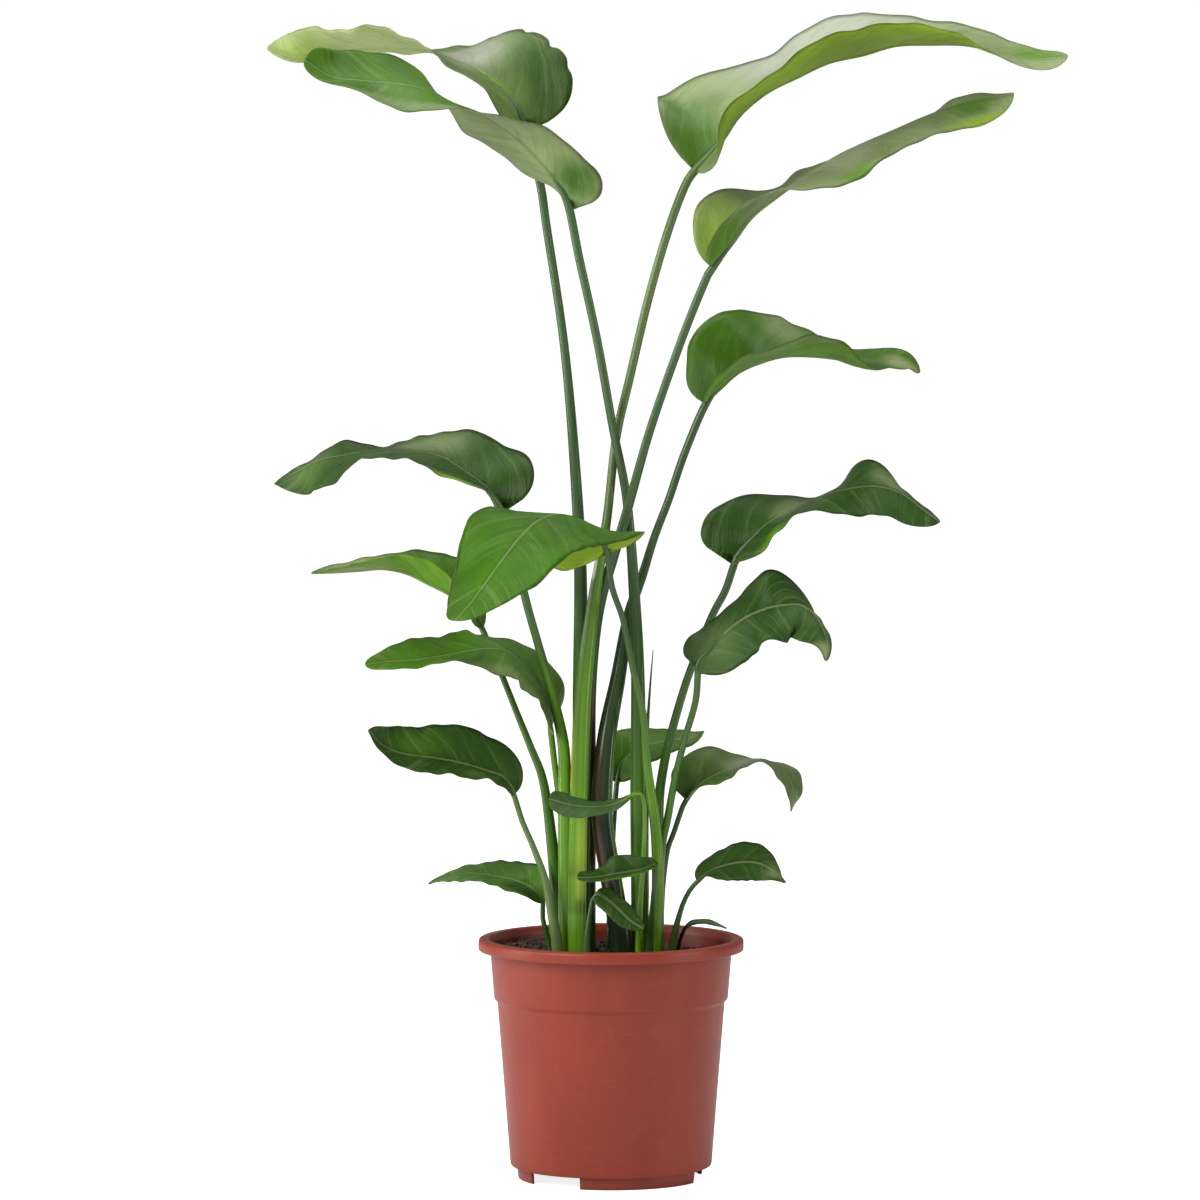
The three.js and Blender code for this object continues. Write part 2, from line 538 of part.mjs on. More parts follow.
// A closed tube with an oval section that may change along the way. Its first ring stays level.
function tubeOf(points, sizes, sides) {
  const tangents = tangentsOf(points);
  tangents[0].copy(UP);
  let across = new THREE.Vector3(1, 0, 0);
  const rings = points.map((centre, i) => {
    const tangent = tangents[i];
    across = across.clone().addScaledVector(tangent, -across.dot(tangent)).normalize();
    const deep = new THREE.Vector3().crossVectors(tangent, across);
    return Array.from({ length: sides }, (_, k) => {
      const turn = 2 * Math.PI * (k + 0.5) / sides;
      return centre.clone()
        .addScaledVector(across, sizes[i][0] * Math.cos(turn))
        .addScaledVector(deep, sizes[i][1] * Math.sin(turn));
    });
  });
  const corners = [...rings.flat(), points[0].clone(), points[points.length - 1].clone()];
  const first = corners.length - 2;
  const last = corners.length - 1;
  const at = (i, k) => i * sides + (k % sides);
  const faces = [];
  for (let k = 0; k < sides; k++) {
    faces.push([first, at(0, k + 1), at(0, k)]);
    faces.push([last, at(rings.length - 1, k), at(rings.length - 1, k + 1)]);
    for (let i = 0; i + 1 < rings.length; i++) {
      faces.push([at(i, k), at(i, k + 1), at(i + 1, k + 1)]);
      faces.push([at(i, k), at(i + 1, k + 1), at(i + 1, k)]);
    }
  }
  return geometryOf(corners, faces);
}

function solidOf(geometry) {
  const bare = new THREE.BufferGeometry();
  bare.setAttribute("position", geometry.getAttribute("position").clone());
  if (geometry.index) bare.setIndex(geometry.index.clone());
  const merged = mergeVertices(bare, 1e-4);
  return new wasm.Manifold(new wasm.Mesh({
    numProp: 3,
    vertProperties: new Float32Array(merged.attributes.position.array),
    triVerts: new Uint32Array(merged.index.array),
  }));
}

function geometryFrom(solid) {
  const mesh = solid.getMesh();
  const geometry = new THREE.BufferGeometry();
  geometry.setAttribute("position", new THREE.BufferAttribute(new Float32Array(mesh.vertProperties), 3));
  geometry.setIndex(new THREE.BufferAttribute(new Uint32Array(mesh.triVerts), 1));
  geometry.computeVertexNormals();
  return geometry;
}

function isLarge(leaf) {
  return leaf.halfWidth > LARGE_HALF_WIDTH;
}

function stalkSides(leaf) {
  return isLarge(leaf) ? LARGE_SIDES : SMALL_SIDES;
}

function stalkSteps(leaf) {
  return leaf.stalk.length + 3;
}

// The stalk's half sizes narrow quickly out of the sheath and then slowly up to the blade.
function stalkSize(leaf, share, room) {
  const narrow = THREE.MathUtils.smoothstep(share, ...leaf.sheath);
  return leaf.foot.map((size) => size + (leaf.top - size) * narrow + room);
}

function stalkPlaces(leaf, count) {
  const { curve, base } = curveOf(leaf);
  return placesOn(curve, 0, base, steps(count));
}

// The stalk as a tapering tube that ends inside the blade's base, under the rib.
function stalkGeometry(leaf) {
  const count = stalkSteps(leaf);
  const { curve, base } = curveOf(leaf);
  const stalk = stalkPlaces(leaf, count);
  const ends = placesOn(curve, base, 1, STALK_END_SHARES);
  const sizes = stalk.map((_, i) => stalkSize(leaf, i / count, 0));
  const endSizes = STALK_END_SIZES.map((size) => [leaf.top * size, leaf.top * size]);
  return tubeOf([...stalk, ...ends], [...sizes, ...endSizes], stalkSides(leaf));
}

function leafSolid(leaf) {
  const large = isLarge(leaf);
  const rows = bladeRows(leaf, large ? LARGE_ROWS : SMALL_ROWS, large ? LARGE_COLUMNS : SMALL_COLUMNS);
  const blade = solidOf(sheetOf(rows, BLADE_THICKNESS, leaf.top * RIB_SHARE));
  return blade.add(solidOf(stalkGeometry(leaf)));
}

function spearPlaces() {
  const route = SPEAR.route.map((p) => new THREE.Vector3(...p));
  const curve = new THREE.CatmullRomCurve3(route, false, "catmullrom", 0.5);
  return placesOn(curve, 0, 1, steps(SPEAR.steps));
}

function spearSizes(room) {
  return steps(SPEAR.steps).map((s) => {
    const size = SPEAR.foot + (SPEAR.point - SPEAR.foot) * s ** SPEAR.power + room;
    return [size, size];
  });
}

function spearSolid() {
  return solidOf(tubeOf(spearPlaces(), spearSizes(0), SMALL_SIDES));
}

// Turned shapes: LatheGeometry turns a profile round the y axis, and this stands it on z.
function turned(profile, sides) {
  const geometry = new THREE.LatheGeometry(profile.map(([r, z]) => new THREE.Vector2(r, z)), sides);
  geometry.rotateX(Math.PI / 2);
  return geometry;
}

function potSolid() {
  const profile = [
    [0, 0],
    [CENTRE_FOOT_RADIUS, 0],
    [CENTRE_FOOT_RADIUS + 3, FLOOR_HEIGHT],
    [BODY_FOOT_RADIUS - CORNER, FLOOR_HEIGHT],
    [BODY_FOOT_RADIUS, FLOOR_HEIGHT + CORNER],
    [BODY_TOP_RADIUS, STEP_HEIGHT - STEP_DROP],
    [BAND_FOOT_RADIUS, STEP_HEIGHT],
    [BAND_TOP_RADIUS, BAND_TOP_HEIGHT],
    [BAND_TOP_RADIUS + SHOULDER, POT_HEIGHT - RIM_WALL],
    [RIM_RADIUS - RIM_WALL, POT_HEIGHT - RIM_WALL],
    [RIM_RADIUS - RIM_WALL + RIM_EDGE, POT_HEIGHT - RIM_DROP],
    [RIM_RADIUS - RIM_EDGE, POT_HEIGHT - RIM_DROP],
    [RIM_RADIUS, POT_HEIGHT - RIM_DROP + RIM_EDGE],
    [RIM_RADIUS, POT_HEIGHT - LIP_CORNER],
    [RIM_RADIUS - LIP_CORNER, POT_HEIGHT],
    [MOUTH_RADIUS, POT_HEIGHT],
    [BAND_TOP_RADIUS - WALL, BAND_TOP_HEIGHT],
    [BAND_FOOT_RADIUS - WALL, STEP_HEIGHT],
    [BODY_TOP_RADIUS - WALL, STEP_HEIGHT - STEP_DROP],
    [BODY_FOOT_RADIUS - WALL, FLOOR_HEIGHT + WALL + CORNER],
    [BODY_FOOT_RADIUS - WALL - CORNER, FLOOR_HEIGHT + WALL],
    [CENTRE_FOOT_RADIUS + RIM_EDGE, FLOOR_HEIGHT + WALL],
    [CENTRE_FOOT_RADIUS - WALL, WALL],
    [0, WALL],
  ];
  let pot = solidOf(turned(profile, POT_SIDES));
  const ring = solidOf(turned([
    [FOOT_RADIUS - FOOT_WALL - 1, 0],
    [FOOT_RADIUS - 1.5, 0],
    [FOOT_RADIUS, FLOOR_HEIGHT + 1],
    [FOOT_RADIUS - FOOT_WALL, FLOOR_HEIGHT + 1],
    [FOOT_RADIUS - FOOT_WALL - 1, 0],
  ], POT_SIDES));
  pot = pot.add(ring);
  for (let i = 0; i < FOOT_ARCS; i++) {
    const notch = wedge(rad(NOTCH_CENTRE_DEGREES + i * 360 / FOOT_ARCS), rad(NOTCH_DEGREES));
    pot = pot.subtract(solidOf(notch));
  }
  for (let i = 0; i < DRAINS; i++) {
    const drain = new THREE.CylinderGeometry(DRAIN_RADIUS, DRAIN_RADIUS, 4 * WALL, 12);
    drain.rotateX(Math.PI / 2);
    const turn = rad(NOTCH_CENTRE_DEGREES + i * 360 / DRAINS);
    drain.translate(DRAIN_CIRCLE * Math.cos(turn), DRAIN_CIRCLE * Math.sin(turn), FLOOR_HEIGHT + WALL / 2);
    pot = pot.subtract(solidOf(drain));
  }
  return pot;
}

// A wedge-shaped block that cuts a notch through the foot ring, below the pot's floor.
function wedge(turn, angle) {
  const shape = new THREE.Shape();
  const inner = FOOT_RADIUS - 4 * FOOT_WALL;
  const outer = FOOT_RADIUS + 4;
  const corners = [[inner, -0.5], [outer, -0.5], [outer, 0.5], [inner, 0.5]].map(([radius, side]) => {
    const at = turn + side * angle;
    return new THREE.Vector2(radius * Math.cos(at), radius * Math.sin(at));
  });
  shape.setFromPoints(corners);
  const block = new THREE.ExtrudeGeometry(shape, { depth: FLOOR_HEIGHT, bevelEnabled: false });
  block.translate(0, 0, -0.01);
  return block;
}

// Height of the soil: a slight fall to the right and soft bumps.
function soilHeightAt(x, y) {
  const w = SOIL_WAVES;
  const bumps = Math.sin(x * w.x + w.shift) * Math.cos(y * w.y);
  const crossed = Math.sin(x * w.crossX - y * w.crossY);
  return SOIL_HEIGHT - SOIL_TILT * x + SOIL_BUMP * (bumps + w.crossShare * crossed);
}

function soilSolid() {
  const bodyAt = (z) => BODY_FOOT_RADIUS + (BODY_TOP_RADIUS - BODY_FOOT_RADIUS)
    * (z - FLOOR_HEIGHT - CORNER) / (STEP_HEIGHT - STEP_DROP - FLOOR_HEIGHT - CORNER);
  const bandAt = (z) => BAND_FOOT_RADIUS + (BAND_TOP_RADIUS - BAND_FOOT_RADIUS)
    * (z - STEP_HEIGHT) / (BAND_TOP_HEIGHT - STEP_HEIGHT);
  const inset = WALL + 2 * ROOM;
  const floor = FLOOR_HEIGHT + WALL + ROOM;
  const low = floor + 2 * CORNER;
  const edge = bandAt(SOIL_HEIGHT - 2 * SOIL_BUMP) - inset;
  const profile = [
    [0, floor],
    [BODY_FOOT_RADIUS - inset - 2 * CORNER, floor],
    [bodyAt(low) - inset, low],
    [bodyAt(STEP_HEIGHT - STEP_DROP) - inset, STEP_HEIGHT - STEP_DROP],
    [bandAt(STEP_HEIGHT) - inset, STEP_HEIGHT + 1],
  ];
  for (let i = SOIL_RINGS; i >= 0; i--) {
    profile.push([edge * i / SOIL_RINGS, SOIL_HEIGHT]);
  }
  const geometry = turned(profile, POT_SIDES);
  const position = geometry.getAttribute("position");
  for (let i = 0; i < position.count; i++) {
    if (position.getZ(i) > SOIL_HEIGHT - 1) {
      position.setZ(i, soilHeightAt(position.getX(i), position.getY(i)));
    }
  }
  let soil = solidOf(geometry);
  for (const leaf of LEAVES) {
    const sides = stalkSides(leaf);
    const count = stalkSteps(leaf);
    const room = ROOM / Math.cos(Math.PI / sides);
    const places = stalkPlaces(leaf, count);
    const sizes = places.map((_, i) => stalkSize(leaf, i / count, room));
    places[0].z -= ROOM;
    soil = soil.subtract(solidOf(tubeOf(places, sizes, sides)));
  }
  const room = ROOM / Math.cos(Math.PI / SMALL_SIDES);
  const places = spearPlaces();
  places[0].z -= ROOM;
  return soil.subtract(solidOf(tubeOf(places, spearSizes(room), SMALL_SIDES)));
}

function meshOf(name, solid, look) {
  const mesh = new THREE.Mesh(geometryFrom(solid), new THREE.MeshStandardMaterial(look));
  mesh.name = name;
  return mesh;
}

const plant = new THREE.Group();
plant.position.set(POT_AXIS[0], POT_AXIS[1], 0);
plant.add(meshOf("pot", potSolid(), PLASTIC));
plant.add(meshOf("soil", soilSolid(), SOIL));
for (const leaf of LEAVES) plant.add(meshOf(leaf.name, leafSolid(leaf), LEAF));
plant.add(meshOf(SPEAR.name, spearSolid(), LEAF));

export default plant;
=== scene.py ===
import math
import random

import bmesh
import bpy
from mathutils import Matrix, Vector, noise


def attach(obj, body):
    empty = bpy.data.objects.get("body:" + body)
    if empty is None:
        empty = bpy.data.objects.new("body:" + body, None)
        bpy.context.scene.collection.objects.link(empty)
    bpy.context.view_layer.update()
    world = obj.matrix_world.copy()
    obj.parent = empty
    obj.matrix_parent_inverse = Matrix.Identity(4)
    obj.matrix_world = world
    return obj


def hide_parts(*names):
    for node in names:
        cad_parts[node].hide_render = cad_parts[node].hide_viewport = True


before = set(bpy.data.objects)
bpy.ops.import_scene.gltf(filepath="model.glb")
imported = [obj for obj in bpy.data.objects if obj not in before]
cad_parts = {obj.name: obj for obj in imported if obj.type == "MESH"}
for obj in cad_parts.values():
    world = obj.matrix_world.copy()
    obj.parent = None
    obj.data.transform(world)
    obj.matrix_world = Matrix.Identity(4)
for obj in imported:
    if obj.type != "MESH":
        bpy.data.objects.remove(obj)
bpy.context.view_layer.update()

mm = 0.001
potAxis = Vector((-0.0468, 0.0266, 0))   # where the pot's axis stands in the frame
up = Vector((0, 0, 1))
random.seed(11)


# Small helpers for colours and node trees

# The plant's tones: glossy greens and dry sheaths; the darkest green is painted shade in the hollows, the
# misty grey and the silver are painted sheens and glints (the silver also tints the stalks' pale lines), sage
# is a grey green that also serves as a painted sheen, lime is a yellow green that also stands for painted
# light through a blade, glow tints the light that passes through a blade, and a brown tints the stalks just
# above the soil
tones = {
    "night": "20321a", "deep": "34541e", "stem": "48653a", "leaf": "4a761a", "grass": "447216",
    "fresh": "66961e", "moss": "627a42", "lime": "9aba38", "sage": "8c9c6c", "pale": "aebc80",
    "sky_sheen": "b0b4a2", "silver": "c6cabc", "straw": "b4ae40", "rust": "482418", "glow": "a8cc20",
    "foot_brown": "4a3a24",
}


def colour(code, strength=1.0):
    code = tones.get(code, code)
    parts = [int(code[i:i + 2], 16) / 255 for i in (0, 2, 4)]
    linear = [p / 12.92 if p <= 0.04045 else ((p + 0.055) / 1.055) ** 2.4 for p in parts]
    return (*[min(1.0, p * strength) for p in linear], 1.0)


def addNode(tree, kind, values=None, **settings):
    made = tree.nodes.new(kind)
    for key, value in settings.items():
        setattr(made, key, value)
    for key, value in (values or {}).items():
        if isinstance(value, bpy.types.NodeSocket):
            tree.links.new(value, made.inputs[key])
        else:
            made.inputs[key].default_value = value
    return made


def maths(tree, operation, a, b=0.0, c=0.0):
    return addNode(tree, "ShaderNodeMath", {0: a, 1: b, 2: c}, operation=operation).outputs[0]


def blendOf(tree, factor, a, b, kind="MIX"):
    values = {0: factor, 6: a, 7: b}
    return addNode(tree, "ShaderNodeMix", values, data_type="RGBA", blend_type=kind).outputs[2]


def fade(tree, value, low, high, start=0.0, end=1.0):
    made = addNode(tree, "ShaderNodeMapRange", {0: value, 1: low, 2: high, 3: start, 4: end})
    made.interpolation_type = "SMOOTHSTEP"
    return made.outputs[0]


def noiseOf(tree, vector, scale, detail=3.0, roughness=0.55):
    values = {"Vector": vector, "Scale": scale, "Detail": detail, "Roughness": roughness}
    return addNode(tree, "ShaderNodeTexNoise", values).outputs["Fac"]


def splitOf(tree, vector):
    return addNode(tree, "ShaderNodeSeparateXYZ", {0: vector}).outputs


def joinOf(tree, x, y):
    return addNode(tree, "ShaderNodeCombineXYZ", {0: x, 1: y}).outputs[0]


def mapOf(tree, name):
    return splitOf(tree, addNode(tree, "ShaderNodeUVMap", uv_map=name).outputs[0])


def bumpOf(tree, strength, height, distance=0.0004):
    values = {"Strength": strength, "Distance": distance, "Height": height}
    return addNode(tree, "ShaderNodeBump", values).outputs[0]


def skinOf(tree, base, rough, bump, **others):
    values = {"Base Color": base, "Roughness": rough, "Normal": bump, **others}
    return addNode(tree, "ShaderNodeBsdfPrincipled", values).outputs[0]


def newMaterial(name):
    material = bpy.data.materials.new(name)
    material.use_nodes = True
    tree = material.node_tree
    tree.nodes.clear()
    output = addNode(tree, "ShaderNodeOutputMaterial")
    position = addNode(tree, "ShaderNodeTexCoord").outputs["Object"]
    return material, tree, output, position


def meshOf(bm, name):
    mesh = bpy.data.meshes.new(name)
    bm.to_mesh(mesh)
    bm.free()
    return mesh


def addObject(name, data):
    made = bpy.data.objects.new(name, data)
    bpy.context.scene.collection.objects.link(made)
    return made


def finishPiece(bm, name, nodes, materials):
    mesh = meshOf(bm, name)
    for polygon in mesh.polygons:
        polygon.use_smooth = True
    for material in materials:
        mesh.materials.append(material)
    piece = addObject(name, mesh)
    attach(piece, "root")
    if nodes:
        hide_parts(*nodes)
    return piece


# Camera: a long lens from far in front, a little above the plant's middle, looking slightly down

cameraLook = {"place": (-10, -7000, 1050), "down": 4.295, "lens": 233.6}
cameraData = bpy.data.cameras.new("camera")
cameraData.lens = cameraLook["lens"]
cameraData.sensor_width = 36
cameraData.clip_end = 500
camera = addObject("camera", cameraData)
camera.location = Vector(cameraLook["place"]) * mm + potAxis
camera.rotation_euler = (math.radians(90 - cameraLook["down"]), 0, 0)
bpy.context.scene.camera = camera


# Leaves. Points are in millimetres from the pot's axis. left and right are the degrees that each half of the
# blade stands above level, at even steps from base to tip, seen from above with the tip ahead.

# The onUpper and onUnder patches hold painted sheens (the misty grey, the silver and most of the sage
# patches) and painted shade in hollows (the darkest green), beside the blades' own colour changes
leaves = [
    {"name": "leaf_01_top_left_back",
     "stalk": [[-27.8, 16, 158], [-27.8, 16, 264], [-27.8, 17, 435], [-27.5, 18, 550], [-33.2, 21, 655],
         [-42.7, 28, 757], [-57.7, 38, 857], [-64.5, 41, 901]],
     "rib": [[-80.4, 43, 955.6], [-96, 50.1, 979.5], [-116.8, 58.7, 999], [-142.5, 69.5, 1011.9],
         [-170.5, 81, 1019], [-199.5, 92.8, 1021], [-228.6, 104.2, 1019.4], [-257.5, 115.6, 1015.4],
         [-286.4, 126.9, 1012], [-314.5, 138, 1020.1]],
     "foot": [7, 6.5], "top": 4.1, "sheathSpan": [0.3, 0.8], "halfWidth": 68.3, "widest": 0.15,
     "tipPower": 0.65, "basePower": 2.48, "lobe": 11.8, "curl": [8, 12], "wave": [2.4, 4, 0.1],
     "left": [-2, 8, 1, 12, 18, 20, 31, 52, 104], "right": [56, 56, 34, 7, -3, -2, -2, -9, -40],
     "upper": "moss", "under": "pale", "petiole": "stem", "sheath": "fresh", "ragged": 0.03,
     "notches": [[1, 0.08, 0.012, 0.05], [1, 0.145, 0.01, 0.07], [1, 0.215, 0.01, 0.06],
         [1, 0.3, 0.012, 0.05]],
     "onUpper": [[0.08, 0.7, 0.2, 0.6, "deep", 0.85], [0.3, 0.35, 0.13, 1, "sky_sheen", 0.8],
         [0.12, 0, 0.15, 0.12, "lime", 0.6]],
     "onUnder": [[0.85, 0, 0.2, 1.2, "lime", 0.6]]},
    {"name": "leaf_02_top_left_front",
     "stalk": [[26, 0, 158], [26, 0, 243], [25, 0, 355], [24.5, -1, 453], [21.5, -2, 525], [14.5, -4, 614],
         [1.7, -11, 681], [-12.3, -16, 759], [-28, -21, 831]],
     "rib": [[-39.5, -25, 885.1], [-54.5, -29.4, 908.7], [-72.8, -35.4, 929.8], [-93.8, -41.9, 948.1],
         [-116.8, -49.5, 963.1], [-142.5, -58.1, 973.6], [-167.5, -66.7, 985], [-194.6, -75.3, 989.8],
         [-222, -84.1, 992.1], [-248.9, -92.2, 995.9], [-271.7, -98, 1010.5]],
     "foot": [8, 7], "top": 4.1, "sheathSpan": [0.2, 0.7], "halfWidth": 56.4, "widest": 0.25,
     "tipPower": 0.34, "basePower": 3.67, "lobe": 10.1, "curl": [10, 8], "wave": [2, 3, 3.6],
     "left": [40, 23, 14, 3, -8, -26, -26, -14, -30], "right": [13, -8, -10, -16, 7, 29, 34, 45, 64],
     "upper": "leaf", "under": "sage", "petiole": "stem", "sheath": "leaf",
     "onUpper": [[0.65, -0.75, 0.4, 0.4, "sage", 0.75]],
     "onUnder": [[0.06, -0.5, 0.12, 0.8, "leaf", 0.85]]},
    {"name": "leaf_03_top_right",
     "stalk": [[-31, -16, 158], [-31, -16, 253], [-29, -15, 365], [-25.5, -13, 445], [-16, -9, 525],
         [-4, -4, 599], [4, 2, 669], [17, 5, 727], [33, 7, 795], [50, 8, 854], [66, 9, 897]],
     "rib": [[77, 10, 913], [97.5, 10, 935.5], [115, 9.2, 961], [138.9, 7.3, 981.2], [166.9, 4.8, 995.3],
         [195.1, 1.5, 1008.3], [225.4, -1.7, 1015.1], [255.3, -4.8, 1023.4], [286.3, -8, 1024.4],
         [317.2, -11.4, 1023.7], [347.5, -15.1, 1017.4], [377.8, -19.2, 1011.2], [408.2, -24, 1013.6]],
     "foot": [8.7, 7.8], "top": 4.3, "sheathSpan": [0.3, 0.62], "halfWidth": 83.3, "widest": 0.15,
     "tipPower": 0.57, "basePower": 2.08, "lobe": 3.6, "curl": [8, 10], "wave": [2, 4, 3.3],
     "left": [104, 54, 22, 29, 29, 22, 16, 17, 15], "right": [-18, 2, 6, 11, 19, 15, 10, -10, -34],
     "upper": "sage", "under": "lime", "petiole": "moss", "sheath": "fresh",
     # The silver band on this stalk is a painted glint; the other bands are the stalk's own colours
     "bands": [["straw", 0.55, 0.07, 0.355, 0.41, 0.8], ["fresh", 0.9, 0.14, 0.33, 0.6, 0.7],
         ["lime", 0.86, 0.13, 0.255, 0.33, 0.9], ["rust", 0.75, 0.3, 0.276, 0.281, 0.6],
         ["rust", 0.75, 0.3, 0.243, 0.248, 0.6], ["silver", 0.64, 0.06, 0.545, 0.572, 0.9]],
     "onUpper": [[0.05, -0.4, 0.15, 0.9, "leaf", 0.9], [0.42, -0.8, 0.35, 0.6, "silver", 0.75],
         [0.92, -0.4, 0.12, 1, "fresh", 0.85]],
     "onUnder": [[0.02, 0.5, 0.06, 0.6, "leaf", 0.8]]},
    {"name": "leaf_04_upper_right",
     "stalk": [[-20, 6, 158], [-20, 6, 253], [-20, 4, 365], [-19.5, 3, 435], [-15.5, 3, 489], [-9, 3, 527],
         [1, -2.5, 561], [15.5, -16.3, 611], [35, -21.5, 680], [62, -25, 758], [83, -28, 811]],
     "rib": [[90.2, -30, 824.4], [108, -31, 847.6], [125.4, -31, 870.9], [148.2, -31, 889],
         [171.8, -31.3, 906], [196, -32.1, 922.2], [222, -32.8, 935.3], [248.8, -33.5, 946.7],
         [275.5, -34.8, 958.2], [302.5, -37.6, 968.7], [330.6, -40.5, 975.4], [359.1, -43, 980.8]],
     "foot": [6.2, 5.8], "top": 4.1, "sheathSpan": [0.3, 0.85], "halfWidth": 61.8, "widest": 0.33,
     "tipPower": 0.54, "basePower": 2.1, "lobe": 0, "curl": [8, -8], "wave": [2, 4, 3.8],
     "left": [100, 64, 12, 4, -3, -5, 1, 9, 6], "right": [26, 20, 6, -13, -30, -19, -25, -41, -67],
     "upper": "sage", "under": "sage", "petiole": "stem", "sheath": "leaf",
     "bands": [["rust", 0.89, 0.12, 0.284, 0.44, 0.95]],
     "onUpper": [[0.06, -0.3, 0.18, 1.2, "lime", 0.7], [0.5, 0, 0.14, 0.8, "sky_sheen", 0.5],
         [0.88, 0.2, 0.12, 0.7, "leaf", 0.75], [0.9, 0.9, 0.14, 0.4, "lime", 0.85],
         [0.5, 0.9, 0.08, 0.3, "fresh", 0.7]],
     "onUnder": [[0.08, 0.5, 0.14, 0.9, "fresh", 0.85]]},
    {"name": "leaf_05_middle_right",
     "stalk": [[9, -9, 158], [8, -9, 218], [0, -11, 272], [-8.5, -10, 330], [-5, -5, 395], [6, 7, 453],
         [16, 12, 510], [28, 15, 545], [39, 17, 580], [52, 18, 614], [66, 20, 655]],
     "rib": [[85.7, 24, 700.8], [100.2, 29.6, 715.9], [116.3, 36.6, 729], [135.8, 45.6, 737],
         [156.3, 55.4, 742.1], [177.7, 65.1, 742.1], [199.1, 75.5, 739.7], [220.4, 86.2, 735.9],
         [241.9, 96.8, 735.7], [263.2, 106.7, 736.7], [282.6, 116, 727.4]],
     "foot": [10, 6.5], "top": 3.8, "sheathSpan": [0.3, 0.8], "halfWidth": 63.1, "widest": 0.38,
     "tipPower": 0.58, "basePower": 2.3, "lobe": 1.1, "curl": [6, 10], "wave": [2, 3, 3.2],
     "left": [27, 56, 55, 38, 32, 22, 15, 16, 43], "right": [35, 29, 17, 22, 14, -4, -3, -15, -29],
     "upper": "leaf", "under": "fresh", "petiole": "stem", "sheath": "night",
     "bands": [["rust", 0.64, 0.09, 0.25, 0.4, 0.6], ["fresh", 0.97, 0.06, 0.26, 0.46, 0.7]],
     "onUpper": [[0.03, -0.5, 0.12, 0.7, "deep", 0.7], [0.47, -0.7, 0.14, 0.6, "sage", 0.8],
         [0.72, 0.5, 0.08, 0.7, "deep", 0.8], [0.9, 0.4, 0.12, 1, "pale", 0.75]],
     "onUnder": [[0.3, 0.9, 0.3, 0.3, "sage", 0.7]]},
    {"name": "leaf_06_right",
     "stalk": [[42, 10, 158], [42, 10, 243], [43, 10, 335], [47, 11, 371], [53, 11, 398], [63, 12, 434],
         [73, 12, 464], [91, 13, 509], [103, 13, 532]],
     "rib": [[113.7, 13, 562.2], [127.3, 11.5, 578.8], [142.6, 9.1, 593.8], [160.8, 5.8, 605],
         [180.1, 1.4, 614.2], [200, -4.2, 621.8], [220.6, -10.1, 626.4], [241.6, -16.7, 627.7],
         [261.3, -23.4, 622], [278, -29.1, 609.4], [294.8, -34, 597]],
     "foot": [5.5, 5], "top": 3.8, "sheathSpan": [0.1, 0.85], "halfWidth": 48.1, "widest": 0.26,
     "tipPower": 0.56, "basePower": 4.78, "lobe": 8.1, "curl": [6, 0], "wave": [1.6, 3, 0.5],
     "left": [103, 67, 24, 5, 10, 33, 2, -6, 1], "right": [-10, -27, -17, -10, -22, -34, -44, -51, -59],
     "upper": "deep", "under": "moss", "petiole": "stem", "sheath": "leaf",
     "onUpper": [[0.3, -0.2, 0.12, 0.8, "sage", 0.75], [0.72, -0.6, 0.12, 0.6, "sage", 0.75],
         [0.2, 0.85, 0.14, 0.35, "fresh", 0.75]]},
    {"name": "leaf_07_lower_right",
     "stalk": [[42.5, -1, 158], [42.5, -1, 233], [45.5, -2, 298], [51, -3, 327], [57.5, -6, 363],
         [66, -15, 399], [76, -20, 435]],
     "rib": [[79, -24, 468.4], [88.6, -27, 481], [98.5, -29.8, 493.5], [110, -33.2, 504.2],
         [123.2, -37.5, 512.9], [137.7, -42.8, 519], [152.7, -49.2, 523.2], [168, -56.5, 524.9],
         [180.9, -62.8, 517.9], [188.9, -66.4, 504.8], [193.1, -68.8, 490.1], [190.9, -71, 475]],
     "foot": [4.5, 4.4], "top": 3.2, "sheathSpan": [0.1, 0.85], "halfWidth": 39.6, "widest": 0.37,
     "tipPower": 0.47, "basePower": 4.62, "lobe": 4.7, "curl": [0, 0], "wave": [1.4, 3, 0.7],
     "left": [60, 41, 34, 45, 57, -6, -18, -15, -1], "right": [-26, -59, -64, -61, -45, -68, -82, -39, 11],
     "upper": "deep", "under": "sage", "petiole": "stem", "sheath": "leaf",
     "onUpper": [[0.14, 0, 0.2, 1.3, "moss", 0.8], [0.95, 0.3, 0.08, 1, "pale", 0.8]]},
    {"name": "leaf_08_left",
     "stalk": [[-40, -4, 158], [-40, -4, 264], [-41.5, -4, 355], [-43, -3, 395], [-53, 0, 440],
         [-65, 3, 482], [-77, 5, 525], [-88, 7, 575]],
     "rib": [[-102, 8, 610.5], [-116, 9.7, 627.9], [-134, 14.3, 641.1], [-153.2, 19.8, 652.5],
         [-175.1, 26.6, 657], [-197.7, 33.9, 658.7], [-220.3, 42.4, 657.1], [-242.7, 50.3, 652.4],
         [-264.9, 58.3, 647.4], [-285.3, 66.2, 636.4], [-305.7, 74, 625.5]],
     "foot": [8, 7], "top": 4, "sheathSpan": [0.2, 0.75], "halfWidth": 60.8, "widest": 0.35,
     "tipPower": 0.55, "basePower": 3.22, "lobe": 9.2, "curl": [0, 10], "wave": [2.2, 4, 0.9],
     "left": [23, 4, -2, -4, -4, -22, -33, -47, -7], "right": [85, 37, 24, 16, 5, 4, 14, 15, 15],
     "upper": "deep", "under": "moss", "petiole": "stem", "sheath": "fresh",
     "bands": [["fresh", 0.8, 0.12, 0.35, 0.46, 0.8]],
